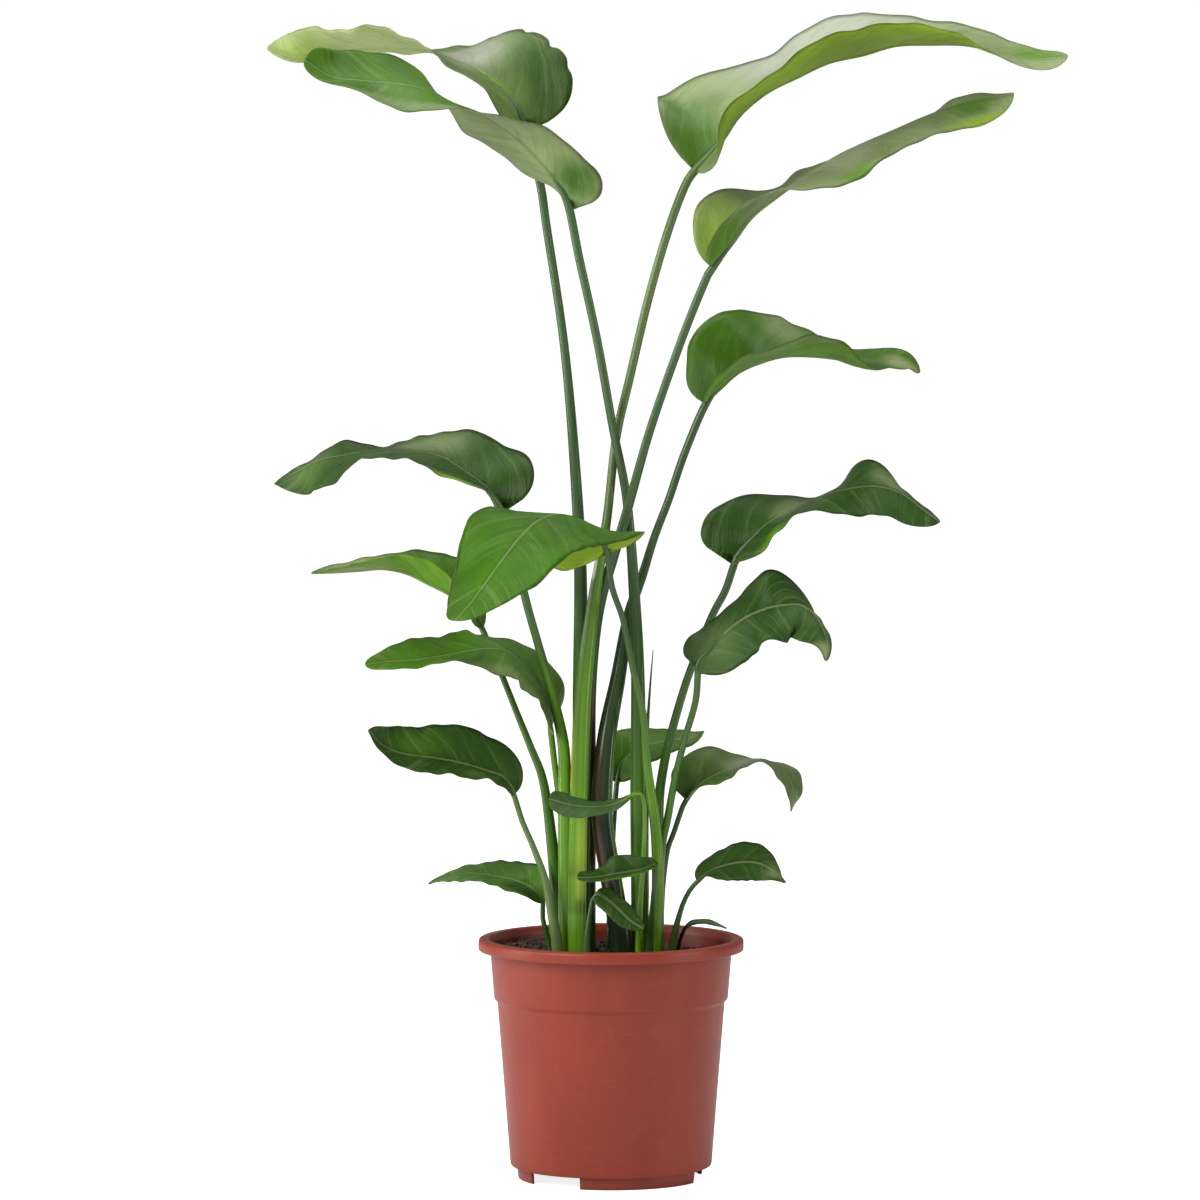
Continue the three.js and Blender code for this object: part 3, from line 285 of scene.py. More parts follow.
     "onUpper": [[0.36, 0.5, 0.2, 0.7, "sage", 0.75], [0.16, -0.95, 0.12, 0.3, "lime", 0.7],
         [0.85, 0, 0.15, 1.2, "moss", 0.7]]},
    {"name": "leaf_09_front",
     "stalk": [[40, -13, 158], [42, -13, 233], [41, -13, 309], [32.5, -13, 375], [29, -14, 420],
         [20, -16, 462], [11, -20, 507], [1, -24, 537]],
     "rib": [[-4.6, -30, 571.5], [-14.3, -42.6, 589.2], [-29.3, -58, 602], [-48, -76.5, 606.9],
         [-65.3, -97.4, 602.1], [-79.3, -117.8, 590.5], [-91.1, -136.6, 576.8], [-102.4, -154.4, 562.6],
         [-113.4, -171, 548.3], [-124.6, -186.2, 534.1], [-137, -200, 520.9]],
     "foot": [6, 5.5], "top": 2.8, "sheathSpan": [0.1, 0.85], "halfWidth": 60.1, "widest": 0.35,
     "tipPower": 0.51, "basePower": 2.99, "lobe": 3.6, "curl": [-6, 0], "wave": [1.6, 3, 0.4],
     "left": [36, -12, -27, -24, -16, -12, -11, -5, -4], "right": [-71, -41, -11, 8, 11, 0, -10, -14, -8],
     "upper": "grass", "under": "lime", "petiole": "stem", "sheath": "fresh",
     "onUpper": [[0.1, 0, 0.14, 1, "moss", 0.5], [0.95, 0, 0.08, 1, "leaf", 0.6]]},
    {"name": "leaf_10_left_behind",
     "stalk": [[-46, 12, 158], [-48, 12, 243], [-54.5, 14, 314], [-61.5, 16, 360], [-72, 18, 388],
         [-85, 22, 420], [-99, 25, 455], [-108, 28, 475]],
     "rib": [[-116.9, 30, 496.6], [-128.4, 32.5, 514.5], [-146.2, 37.7, 526.8], [-165.8, 45, 536.2],
         [-185.7, 53.1, 544.9], [-207.3, 60.5, 548.4], [-229.2, 67.4, 546.2], [-251.3, 74, 544.2],
         [-273.4, 80, 543]],
     "foot": [7, 6], "top": 3, "sheathSpan": [0.1, 0.85], "halfWidth": 37.7, "widest": 0.36,
     "tipPower": 0.78, "basePower": 2.03, "lobe": 0, "curl": [0, 6], "wave": [1.4, 3, 0.2],
     "left": [-6, 17, 37, 39, 33, 17, 14, 16, 5], "right": [5, 23, 49, 47, 32, 21, 27, 22, 37],
     "upper": "leaf", "under": "fresh", "petiole": "stem", "sheath": "leaf",
     "onUpper": [[0.75, 0.5, 0.25, 0.8, "pale", 0.7]],
     "onUnder": [[0.75, 0, 0.25, 1, "pale", 0.7]]},
    {"name": "leaf_11_lower_left",
     "stalk": [[-38, 26, 158], [-39, 25, 233], [-44, 20, 314], [-51, 14, 375]],
     "rib": [[-54.3, 12, 403.7], [-57.2, 9.9, 425.5], [-64.6, 6.7, 446.2], [-77.7, -0.2, 463.7],
         [-93.3, -11.5, 478.9], [-114.2, -22.4, 482.1], [-135.5, -29, 478.9], [-156.6, -33.8, 475.3],
         [-177.9, -37.7, 472.6], [-199.4, -40.9, 471.6], [-220.6, -44, 469.2]],
     "foot": [4, 4], "top": 3, "sheathSpan": [0.1, 0.85], "halfWidth": 43.1, "widest": 0.35,
     "tipPower": 0.52, "basePower": 5.35, "lobe": 0, "curl": [0, 0], "wave": [1.8, 4, 0.6],
     "left": [-13, -24, -25, -33, -31, -10, -2, -12, -22], "right": [21, 44, 34, 12, 18, 20, 30, 31, 25],
     "upper": "leaf", "under": "sage", "petiole": "stem", "sheath": "fresh",
     "onUpper": [[0.4, -0.85, 0.25, 0.5, "sage", 0.75], [0.1, -0.4, 0.16, 0.8, "moss", 0.6]]},
    {"name": "leaf_12_left_low",
     "stalk": [[-46, -22, 158], [-48, -22, 210], [-58, -23, 268], [-69, -25, 301], [-80, -26, 327]],
     "rib": [[-88.3, -27, 353.1], [-96.9, -29.1, 366.3], [-112.3, -33.1, 372.6], [-128, -37.5, 378],
         [-143.9, -42.2, 382.4], [-160.1, -46.9, 385.5], [-176.3, -51.8, 388], [-192.3, -56.6, 391.8],
         [-206.9, -60.8, 399.6], [-217.5, -64, 412.5]],
     "foot": [6, 5.5], "top": 2.8, "sheathSpan": [0.1, 0.85], "halfWidth": 38.1, "widest": 0.36,
     "tipPower": 0.5, "basePower": 2.39, "lobe": 2.8, "curl": [0, 0], "wave": [1.4, 3, 0.1],
     "left": [-23, -18, -8, -19, -14, -20, -24, -17, -17], "right": [51, 58, 54, 62, 55, 45, 54, 59, 68],
     "upper": "deep", "under": "moss", "petiole": "stem", "sheath": "moss",
     "onUpper": [[0.65, 0.4, 0.25, 0.6, "leaf", 0.7], [0.3, -0.6, 0.16, 0.4, "moss", 0.6]]},
    {"name": "leaf_13_bottom_left",
     "stalk": [[-55, -8, 158], [-55, -8, 208], [-59, -8, 225], [-62, -8, 239]],
     "rib": [[-61.5, -7, 250.4], [-71.6, -4.7, 262.7], [-86, 0.1, 269.6], [-102.1, 6, 272.3],
         [-118.3, 12.1, 274.5], [-134.5, 18.7, 274.3], [-150.5, 24, 269.8], [-166.1, 28, 263.7]],
     "foot": [3.8, 3.8], "top": 2.4, "sheathSpan": [0.1, 0.85], "halfWidth": 30.1, "widest": 0.36,
     "tipPower": 0.6, "basePower": 1.63, "lobe": 0.4, "curl": [0, 0], "wave": [1, 3, 3.3],
     "left": [-19, -9, -13, -7, -3, -13, -11, -5, -5], "right": [104, 72, 34, 27, 21, 16, 16, 12, 20],
     "upper": "leaf", "under": "moss", "petiole": "stem", "sheath": "deep",
     "onUpper": [[0.2, -0.5, 0.2, 0.6, "night", 0.8], [0.78, -0.5, 0.18, 0.6, "moss", 0.8]]},
    {"name": "leaf_14_centre",
     "stalk": [[24, -20, 158], [26, -24, 243], [29.5, -29, 300], [30, -33, 338], [27, -39, 352]],
     "rib": [[20.5, -44, 353], [10.7, -47.3, 347.5], [0.2, -49.9, 343.7], [-11, -51.6, 342],
         [-22.4, -53.1, 342.2], [-33.7, -54.6, 343.7], [-44.8, -56.3, 346.6], [-55.7, -58, 349.9]],
     "foot": [3.5, 3.5], "top": 2, "sheathSpan": [0.1, 0.85], "halfWidth": 18.7, "widest": 0.55,
     "tipPower": 0.34, "basePower": 1.1, "lobe": 0.7, "curl": [0, 0], "wave": [0.8, 2, 0.2],
     "left": [-43, -31, -22, -20, -23, -28, -36, -44, -47], "right": [43, 30, 19, 13, 16, 21, 26, 36, 51],
     "upper": "stem", "under": "lime", "petiole": "fresh", "sheath": "fresh"},
    {"name": "leaf_15_centre_low",
     "stalk": [[34, -24, 158], [35, -30, 218], [38, -44, 262]],
     "rib": [[39.4, -50, 288.7], [28.1, -52.2, 285.4], [16.4, -53.8, 283.7], [4.7, -55.3, 282],
         [-7, -56.9, 280.1], [-18.8, -58.4, 278.8], [-30.6, -60, 279]],
     "foot": [4.5, 4], "top": 2.2, "sheathSpan": [0.1, 0.85], "halfWidth": 16.6, "widest": 0.41,
     "tipPower": 0.38, "basePower": 1.68, "lobe": 3.2, "curl": [0, 0], "wave": [0.6, 2, 0.6],
     "left": [-37, -6, -7, -11, -8, -7, -12, -13, -18], "right": [92, 92, 74, 72, 74, 34, 22, 27, 45],
     "upper": "deep", "under": "moss", "petiole": "stem", "sheath": "deep",
     "onUpper": [[0.4, -0.9, 0.5, 0.25, "fresh", 0.6]]},
    {"name": "leaf_16_centre_lowest",
     "stalk": [[-22, -32, 158], [-22, -33, 215], [-18, -37, 251]],
     "rib": [[-13, -40, 262], [-4, -44, 258], [7, -50, 249], [17, -56, 240], [29, -62, 233]],
     "foot": [4.6, 4], "top": 2, "sheathSpan": [0.1, 0.85], "halfWidth": 12.5, "widest": 0.36,
     "tipPower": 0.45, "basePower": 2.4, "lobe": 2, "curl": [0, 0], "wave": [0.5, 2, 0.1],
     "left": [50, 35, 35, 35, 30], "right": [-50, -35, -35, -35, -30], "upper": "deep", "under": "moss",
     "petiole": "stem", "sheath": "stem"},
    {"name": "leaf_17_right_low",
     "stalk": [[45, 20, 158], [45, 19, 240], [50, 17, 291], [57, 14, 313], [64, 13, 334]],
     "rib": [[67.8, 12, 341.9], [79.8, 11.5, 355.2], [94.9, 9.9, 364.8], [111, 7.6, 372.7],
         [127.7, 4.4, 379], [145.1, 0.7, 377.4], [158.7, -3, 367.2], [164, -5.1, 350.6],
         [162.4, -6, 332.9]],
     "foot": [4, 4], "top": 2.6, "sheathSpan": [0.1, 0.85], "halfWidth": 37.3, "widest": 0.35,
     "tipPower": 0.49, "basePower": 2.58, "lobe": 0, "curl": [0, 0], "wave": [1, 3, 3.5],
     "left": [104, 66, 47, 16, -4, -7, 10, 13, -5], "right": [-5, -4, -10, -12, -6, 6, -8, -4, 7],
     "upper": "moss", "under": "sage", "petiole": "stem", "sheath": "deep",
     "onUpper": [[0.05, -0.4, 0.12, 1, "deep", 0.8], [0.45, -0.1, 0.16, 0.9, "sky_sheen", 0.7],
         [0.25, 0.7, 0.14, 0.5, "leaf", 0.8]]},
    {"name": "leaf_18_bottom_right",
     "stalk": [[56, -18, 158], [55, -18, 209], [62, -19, 243], [70, -20, 262]],
     "rib": [[80.1, -20, 273.6], [92, -21.9, 282.1], [105.8, -25.1, 287.1], [120.1, -28.6, 289.6],
         [134.4, -32, 288.4], [146.7, -35.2, 281.8], [157.2, -38, 272]],
     "foot": [5, 5], "top": 2.4, "sheathSpan": [0.1, 0.85], "halfWidth": 24.2, "widest": 0.36,
     "tipPower": 0.55, "basePower": 2.03, "lobe": 3.7, "curl": [0, 0], "wave": [0.8, 3, 0.8],
     "left": [63, 39, 38, 44, 45, 44, 22, 1, -4], "right": [-5, -8, -25, -35, -37, -42, -43, -23, -6],
     "upper": "deep", "under": "moss", "petiole": "stem", "sheath": "deep",
     "onUpper": [[0.85, 0, 0.15, 1, "sage", 0.7]]},
    {"name": "leaf_19_over_rim",
     "stalk": [[60, 28, 158], [61, 28, 203], [64, 26, 217]],
     "rib": [[67, 24, 224], [74, 24, 229], [86, 23, 230], [96, 22, 227.5], [105, 21, 224]],
     "foot": [3, 3], "top": 1.8, "sheathSpan": [0.1, 0.85], "halfWidth": 5, "widest": 0.36,
     "tipPower": 0.85, "basePower": 2.4, "lobe": 0, "curl": [0, 0], "wave": [0.3, 2, 0],
     "left": [25, 25, 28], "right": [-25, -25, -25], "upper": "stem", "under": "moss", "petiole": "night",
     "sheath": "night"},
    {"name": "leaf_20_back",
     "stalk": [[-2, 34, 158], [-1, 36, 223], [1, 40, 294], [4, 48, 340]],
     "rib": [[6, 52, 358], [10, 55, 371], [21, 58, 382], [37, 62, 388], [59, 66, 392], [75, 69, 394],
         [85, 71, 399]],
     "foot": [4, 4], "top": 2.6, "sheathSpan": [0.1, 0.85], "halfWidth": 28, "widest": 0.36,
     "tipPower": 0.85, "basePower": 2.4, "lobe": 4, "curl": [0, 0], "wave": [0.8, 2, 0.4],
     "left": [85, 60, 35, 25, 25, 20], "right": [-40, -30, -25, -20, -25, -20], "upper": "leaf",
     "under": "lime", "petiole": "stem", "sheath": "stem",
     "onUpper": [[0.85, 0, 0.15, 1, "sage", 0.7]]},
]

bladeBuild = {
    "rowSpacing": 1.7, "columns": 12, "narrow": 35, "narrowColumns": 8, "crowding": 1.5,
    "thickness": 0.9, "tipHalfWidth": 1.2, "lobeShare": 0.3, "fullRelief": 45,
    "ribDepth": 0.5, "ribHalf": 2.3, "ribTop": 4.4, "groove": 0.8,
    "veinLean": 0.55, "veinBend": 0.008, "veinGap": 6.4, "veinLift": 0.12, "fineVeinGap": 1.45,
    "ruffle": 0.8, "foldGap": 24, "foldLift": 1.3, "ragged": 0.018, "longTear": 26, "shortTear": 9,
}
stalkBuild = {"sides": 14, "step": 7, "endShares": (0.04, 0.08, 0.13, 0.2),
              "endSizes": (0.78, 0.6, 0.4, 0.12), "channel": 0.16, "sheathTop": 0.42}


# A smooth curve through evenly spaced numbers or points, with one more beyond each end to give it a slope
def smoothAt(values, share, before, after):
    last = len(values) - 1
    at = min(max(share, 0), 1) * last
    i = min(int(at), last - 1)
    f = at - i
    padded = [before, *values, after]
    slope, nextSlope = (padded[i + 2] - padded[i]) / 2, (padded[i + 3] - padded[i + 1]) / 2
    return ((2 * f ** 3 - 3 * f ** 2 + 1) * values[i] + (f ** 3 - 2 * f ** 2 + f) * slope
            + (3 * f ** 2 - 2 * f ** 3) * values[i + 1] + (f ** 3 - f ** 2) * nextSlope)


def valueAt(values, share):
    return smoothAt(values, share, values[0], values[-1])


def routePoint(points, share):
    return smoothAt(points, share, 2 * points[0] - points[1], 2 * points[-1] - points[-2])


def placed(points):
    return [Vector(p) * mm + potAxis for p in points]


# Places at given shares of a route's length between two of its parameters, and that length
def placesAlong(points, start, end, shares):
    fine = 400
    samples = [routePoint(points, start + (end - start) * i / fine) for i in range(fine + 1)]
    lengths = [0.0]
    for a, b in zip(samples, samples[1:]):
        lengths.append(lengths[-1] + (b - a).length)
    places, i = [], 1
    for share in shares:
        wanted = share * lengths[-1]
        while i < fine and lengths[i] < wanted:
            i += 1
        f = (wanted - lengths[i - 1]) / (lengths[i] - lengths[i - 1])
        places.append(samples[i - 1].lerp(samples[i], f))
    return places, lengths[-1]


def tangentsOf(places, reach=1):
    last = len(places) - 1
    return [(places[min(i + reach, last)] - places[max(i - reach, 0)]).normalized()
            for i in range(last + 1)]


# A bmesh with two maps: place holds shares along and across, veins holds lengths in tenths of a metre
def newSheets():
    bm = bmesh.new()
    for layer in ("place", "veins"):
        bm.loops.layers.uv.new(layer)
    return bm


# A sheet of rows and columns: a plain grid, moved to the places of a row table
def addSheet(bm, rows, uvRows, slot):
    rowCount, columnCount = len(rows) - 1, len(rows[0]) - 1
    made = bmesh.ops.create_grid(bm, x_segments=rowCount, y_segments=columnCount, size=0.5)
    spots = {}
    for vert in made["verts"]:
        spot = (round((vert.co.x + 0.5) * rowCount), round((vert.co.y + 0.5) * columnCount))
        spots[vert] = spot
        vert.co = rows[spot[0]][spot[1]]
    maps = [bm.loops.layers.uv[name] for name in ("place", "veins")]
    faces = {face for vert in made["verts"] for face in vert.link_faces}
    for face in faces:
        face.material_index = slot
        for loop in face.loops:
            i, j = spots[loop.vert]
            for layer, uv in zip(maps, uvRows[i][j]):
                loop[layer].uv = uv
    return made["verts"]


# A tube: a sheet of rings, drawn to a point at each end
def addTube(bm, rings, uvRings, first, last, slot):
    rows = [[first] * len(rings[0])] + rings + [[last] * len(rings[0])]
    uvRows = [uvRings[0]] + uvRings + [uvRings[-1]]
    bmesh.ops.remove_doubles(bm, verts=addSheet(bm, rows, uvRows, slot), dist=1e-7)


def halfWidthAt(leaf, share):
    widest, blunt = leaf["widest"], leaf["basePower"]
    if share < widest:
        shape = (1 - ((widest - share) / widest) ** blunt) ** (1 / blunt)
    else:
        shape = max(0, 1 - ((share - widest) / (1 - widest)) ** 2) ** leaf["tipPower"]
    return max(leaf["halfWidth"] * shape, bladeBuild["tipHalfWidth"])


# The blade: an upper and an under sheet that share their edge, with a channel over the rib and the rib below
def addBlade(bm, leaf):
    b = bladeBuild
    points = placed(leaf["stalk"] + leaf["rib"])
    base = len(leaf["stalk"]) / (len(points) - 1)
    length = placesAlong(points, base, 1, [1])[1]
    rowCount = max(24, round(length / mm / b["rowSpacing"]))
    even = [i / rowCount for i in range(rowCount + 1)]
    shares = [0.55 * f + 0.225 * (1 - math.cos(math.pi * f)) for f in even]
    spine = placesAlong(points, base, 1, shares)[0]
    tangents = tangentsOf(spine, 5)
    heading = spine[-1] - spine[0]
    heading.z = 0
    heading.normalize()
    columns = b["columns"] if leaf["halfWidth"] > b["narrow"] else b["narrowColumns"]
    outs = [(k / columns) ** b["crowding"] for k in range(1, columns + 1)]
    waveHeight, waves, phase = leaf["wave"]
    small = min(1, leaf["halfWidth"] / b["fullRelief"])
    seed = int(leaf["name"][5:7]) * 7.3
    rows, uvRows = [], []
    for share, centre, tangent in zip(shares, spine, tangents):
        right = heading.cross(up)
        right = (right - tangent * right.dot(tangent)).normalized()
        normal = right.cross(tangent).normalized()
        width = halfWidthAt(leaf, share)
        lobe = leaf["lobe"] * max(0, 1 - share / b["lobeShare"]) ** 2
        swell = math.sqrt(max(0, math.sin(math.pi * share)))
        halves, uvHalves = [], []
        for side, edge, curl, shift in ((-1, "left", leaf["curl"][0], phase),
                                        (1, "right", leaf["curl"][1], phase + 0.37)):
            degrees = valueAt(leaf[edge], share)
            outward = right * side
            place, inner = centre.copy(), 0
            half, uvHalf = [], []
            spot = share * length / mm
            ragged = (noise.noise(Vector((spot / b["longTear"], seed, side)))
                      + 0.4 * noise.noise(Vector((spot / b["shortTear"], seed, side))))
            ragged *= leaf.get("ragged", b["ragged"]) * min(1, swell * 1.5)
            for notchSide, middle, reach, depth in leaf.get("notches", []):
                ragged -= depth * math.exp(-((share - middle) / reach) ** 2) * (notchSide == side)
            for out in outs:
                angle = math.radians(degrees + curl * (out + inner - 1))
                stride = width * (out - inner) * (1 + ragged * out ** 4 * 3) * mm
                place = place + (outward * math.cos(angle) + normal * math.sin(angle)) * stride
                across = width * out
                course = spot - across * b["veinLean"] - across * across * b["veinBend"] + 1.5 * side
                lift = waveHeight * out ** 1.5 * swell * math.sin(2 * math.pi * (waves * share + shift))
                ripple = math.sin(2 * math.pi * (waves * 2.7 * share + 1.7 * shift))
                lift += b["ruffle"] * small * out ** 3 * swell * ripple
                veinShape = min(1, across / 8) * min(1, (1 - out) * 6 + 0.2) * swell
                lift += b["veinLift"] * small * veinShape * math.sin(2 * math.pi * course / b["veinGap"])
                fold = noise.noise(Vector((course / b["foldGap"], across / 45, seed + 3 * side)))
                lift += b["foldLift"] * small * veinShape * fold
                half.append(place + (normal * math.cos(angle) - outward * math.sin(angle)) * (lift * mm)
                            - tangent * (lobe * out * out * mm))
                uvHalf.append(((share, 0.5 + 0.5 * side * out),
                               (share * length * 10, side * across * mm * 10)))
                inner = out
            halves.append(half)
            uvHalves.append(uvHalf)
        rows.append(halves[0][::-1] + [centre.copy()] + halves[1])
        uvRows.append(uvHalves[0][::-1] + [((share, 0.5), (share * length * 10, 0))] + uvHalves[1])

    upper, lower = [], []
    lastRow, lastColumn = len(rows) - 1, len(rows[0]) - 1
    for i, row in enumerate(rows):
        upper.append([])
        lower.append([])
        ribHalf = b["ribHalf"] * (1 - 0.75 * shares[i]) * leaf["top"] / b["ribTop"]
        ribDepth = leaf["top"] * b["ribDepth"] * (1 - 0.85 * shares[i])
        for j, place in enumerate(row):
            along = rows[min(i + 1, lastRow)][j] - rows[max(i - 1, 0)][j]
            across = row[min(j + 1, lastColumn)] - row[max(j - 1, 0)]
            normal = across.cross(along).normalized()
            onEdge = i in (0, lastRow) or j in (0, lastColumn)
            distance = abs(uvRows[i][j][1][1]) / 10 / mm
            bell = math.exp(-(distance / ribHalf) ** 2)
            half = 0 if onEdge else b["thickness"] / 2
            bell = 0 if onEdge else bell
            upper[-1].append(place + normal * ((half - b["groove"] * ribHalf / b["ribHalf"] * bell) * mm))
            lower[-1].append(place - normal * ((half + (ribDepth + b["groove"] * 0.6) * bell) * mm))
    verts = addSheet(bm, upper, uvRows, 0) + addSheet(bm, lower, uvRows, 1)
    bmesh.ops.remove_doubles(bm, verts=verts, dist=1e-7)


# The stalk: a tapering tube with a shallow channel, from below the soil to the underside of the rib
def addStalk(bm, leaf):
    b = stalkBuild
    points = placed(leaf["stalk"] + leaf["rib"])
    base = len(leaf["stalk"]) / (len(points) - 1)
    length = placesAlong(points, 0, base, [1])[1]
    count = max(12, round(length / mm / b["step"]))
    shares = [i / count for i in range(count + 1)]
    places = placesAlong(points, 0, base, shares)[0]
    sizes = []
    sheathStart, sheathEnd = leaf["sheathSpan"]
    for share in shares:
        narrow = min(1, max(0, (share - sheathStart) / (sheathEnd - sheathStart)))
        narrow = narrow * narrow * (3 - 2 * narrow)
        sizes.append([size + (leaf["top"] - size) * narrow for size in leaf["foot"]])
    places += placesAlong(points, base, 1, b["endShares"])[0]
    sizes += [[leaf["top"] * size] * 2 for size in b["endSizes"]]
    shares += [1 + share for share in b["endShares"]]
    tangents = tangentsOf(places)
    tangents[0] = up
    heading = points[-1] - points[0]
    facing = math.atan2(heading.y, heading.x)
    side = Vector((1, 0, 0))
    rows, uvRows = [], []
    for i, (place, tangent) in enumerate(zip(places, tangents)):
        side = (side - tangent * side.dot(tangent)).normalized()
        deep = tangent.cross(side)
        row, uvRow = [], []
        for k in range(b["sides"] + 1):
            turn = 2 * math.pi * k / b["sides"]
            inside = max(0, math.cos(turn - facing - math.pi)) ** 8
            channel = 1 - b["channel"] * inside * min(1, shares[i] * 3)
            row.append(place + (side * (sizes[i][0] * math.cos(turn)) + deep * (sizes[i][1] * math.sin(turn)))
                       * (channel * mm))
            uvRow.append(((shares[i] / 2, k / b["sides"]), (place.z, 0)))
        rows.append(row)
        uvRows.append(uvRow)
    addTube(bm, rows, uvRows, places[0], places[-1], 2)


# A soft patch of another colour, round a place given as the share along the rib and the part of the way to
# the left edge, at -1, or the right edge, at 1. Patches paint the blades' own colour changes, and also
# painted sheens and painted shade
def patchOf(tree, where, wobble, base, patch):
    share, across, longReach, wideReach, code, strength = patch
    offset = addNode(tree, "ShaderNodeVectorMath", {0: where, 1: (share, across, 0)}, operation="SUBTRACT")
    scale = (1 / longReach, 1 / wideReach, 0)
    scaled = addNode(tree, "ShaderNodeVectorMath", {0: offset.outputs[0], 1: scale}, operation="MULTIPLY")
    away = addNode(tree, "ShaderNodeVectorMath", {0: scaled.outputs[0]}, operation="LENGTH").outputs[1]
    reach = maths(tree, "MULTIPLY_ADD", wobble, 0.7, away)
    return blendOf(tree, fade(tree, reach, 0.55, 1.35, strength, 0.0), base, colour(code))


def bladeMaterial(name, code, look, patches):
    material, tree, output, position = newMaterial(name)
    b = bladeBuild
    veins, place = mapOf(tree, "veins"), mapOf(tree, "place")
    along = maths(tree, "MULTIPLY", veins[0], 100)     # millimetres
    across = maths(tree, "MULTIPLY", maths(tree, "ABSOLUTE", veins[1]), 100)
    sway = noiseOf(tree, position, 30, 3)
    square = maths(tree, "MULTIPLY", across, across)
    leaning = maths(tree, "MULTIPLY", across, b["veinLean"])
    course = maths(tree, "SUBTRACT", along, maths(tree, "MULTIPLY_ADD", square, b["veinBend"], leaning))
    course = maths(tree, "MULTIPLY_ADD", sway, 5.0, course)
    streak = joinOf(tree, maths(tree, "MULTIPLY", course, 0.09), maths(tree, "MULTIPLY", across, 0.01))
    streaks = noiseOf(tree, streak, 1.0, 4, 0.55)
    thread = joinOf(tree, maths(tree, "MULTIPLY", course, 0.42), maths(tree, "MULTIPLY", across, 0.02))
    threads = noiseOf(tree, thread, 1.0, 2)
    fine = maths(tree, "SINE", maths(tree, "MULTIPLY", course, 2 * math.pi / b["fineVeinGap"]))
    cloudy = noiseOf(tree, position, 13, 4, 0.6)
    speckle = noiseOf(tree, position, 170, 3)
    # A painted shaded and a painted lit copy of the green, mixed by a cloud noise
    shaded, lit = colour(code, look["shade"]), colour(code, look["light"])
    base = blendOf(tree, fade(tree, cloudy, 0.34, 0.66), shaded, lit)
    side = maths(tree, "MULTIPLY_ADD", place[1], 2.0, -1.0)
    where = joinOf(tree, place[0], side)
    for patch in patches:
        base = patchOf(tree, where, cloudy, base, patch)
    dark = blendOf(tree, 1.0, base, (0.5, 0.58, 0.38, 1), "MULTIPLY")
    pale = blendOf(tree, 0.5, base, colour("pale"))
    for marks, low, high, share, tone in (
            (streaks, 0.52, 0.7, look["streaks"], pale), (streaks, 0.5, 0.32, look["streaks"], dark),
            (threads, 0.56, 0.7, look["veins"], pale), (threads, 0.44, 0.3, look["veins"], dark),
            (speckle, 0.5, 0.75, 0.2, dark)):
        base = blendOf(tree, fade(tree, marks, low, high, 0.0, share), base, tone)
    ribHalf = maths(tree, "MULTIPLY_ADD", place[0], -0.8, 1.25)
    for spread, tone in ((4.5, dark), (0.8, pale)):     # a shadow beside the rib, then the rib
        values = {0: across, 1: ribHalf, 2: maths(tree, "ADD", ribHalf, spread), 3: look["rib"], 4: 0.0}
        base = blendOf(tree, addNode(tree, "ShaderNodeMapRange", values).outputs[0], base, tone)
    edge = maths(tree, "ABSOLUTE", side)
    base = blendOf(tree, fade(tree, edge, 0.975, 0.998, 0.0, 0.75), base, colour("pale", 1.05))
    height = maths(tree, "MULTIPLY_ADD", fine, 0.2, maths(tree, "MULTIPLY", threads, 0.8))
    height = maths(tree, "MULTIPLY_ADD", speckle, 0.8, maths(tree, "MULTIPLY_ADD", streaks, 1.2, height))
    bump = bumpOf(tree, look["relief"], height)
    shine = maths(tree, "MULTIPLY_ADD", cloudy, 0.2, look["rough"] - 0.1)
    skin = skinOf(tree, base, shine, bump, **{"IOR": 1.4, "Specular IOR Level": look["gloss"]})
    glow = blendOf(tree, 0.5, base, colour("glow"))
    through = addNode(tree, "ShaderNodeBsdfTranslucent", {"Color": glow, "Normal": bump}).outputs[0]
    mixed = addNode(tree, "ShaderNodeMixShader", {0: look["through"], 1: skin, 2: through}).outputs[0]
    tree.links.new(mixed, output.inputs["Surface"])
    return material


upperLook = {"shade": 0.78, "light": 1.18, "streaks": 0.32, "veins": 0.28, "rib": 0.6, "relief": 0.8,
             "rough": 0.3, "gloss": 0.25, "through": 0.14}
underLook = {"shade": 0.95, "light": 1.4, "streaks": 0.5, "veins": 0.45, "rib": 0.6, "relief": 0.9,
             "rough": 0.45, "gloss": 0.15, "through": 0.34}


# A band of another colour along the stalk: its place round the stalk as a share of a turn, with 0.5 on the
# left, 0.75 in front and 1 on the right, its half width, the heights of its ends in metres and its strength
def bandOf(tree, around, height, base, band):
    code, centre, half, low, high, strength = band
    beside = maths(tree, "ABSOLUTE", maths(tree, "SUBTRACT", around, centre))
    inside = fade(tree, beside, half * 1.3, half * 0.7, 0.0, strength)
    above = fade(tree, height, low - 0.004, low + 0.004)
    below = fade(tree, height, high + 0.02, high - 0.02)
    between = maths(tree, "MULTIPLY", above, below)
    return blendOf(tree, maths(tree, "MULTIPLY", inside, between), base, colour(code))


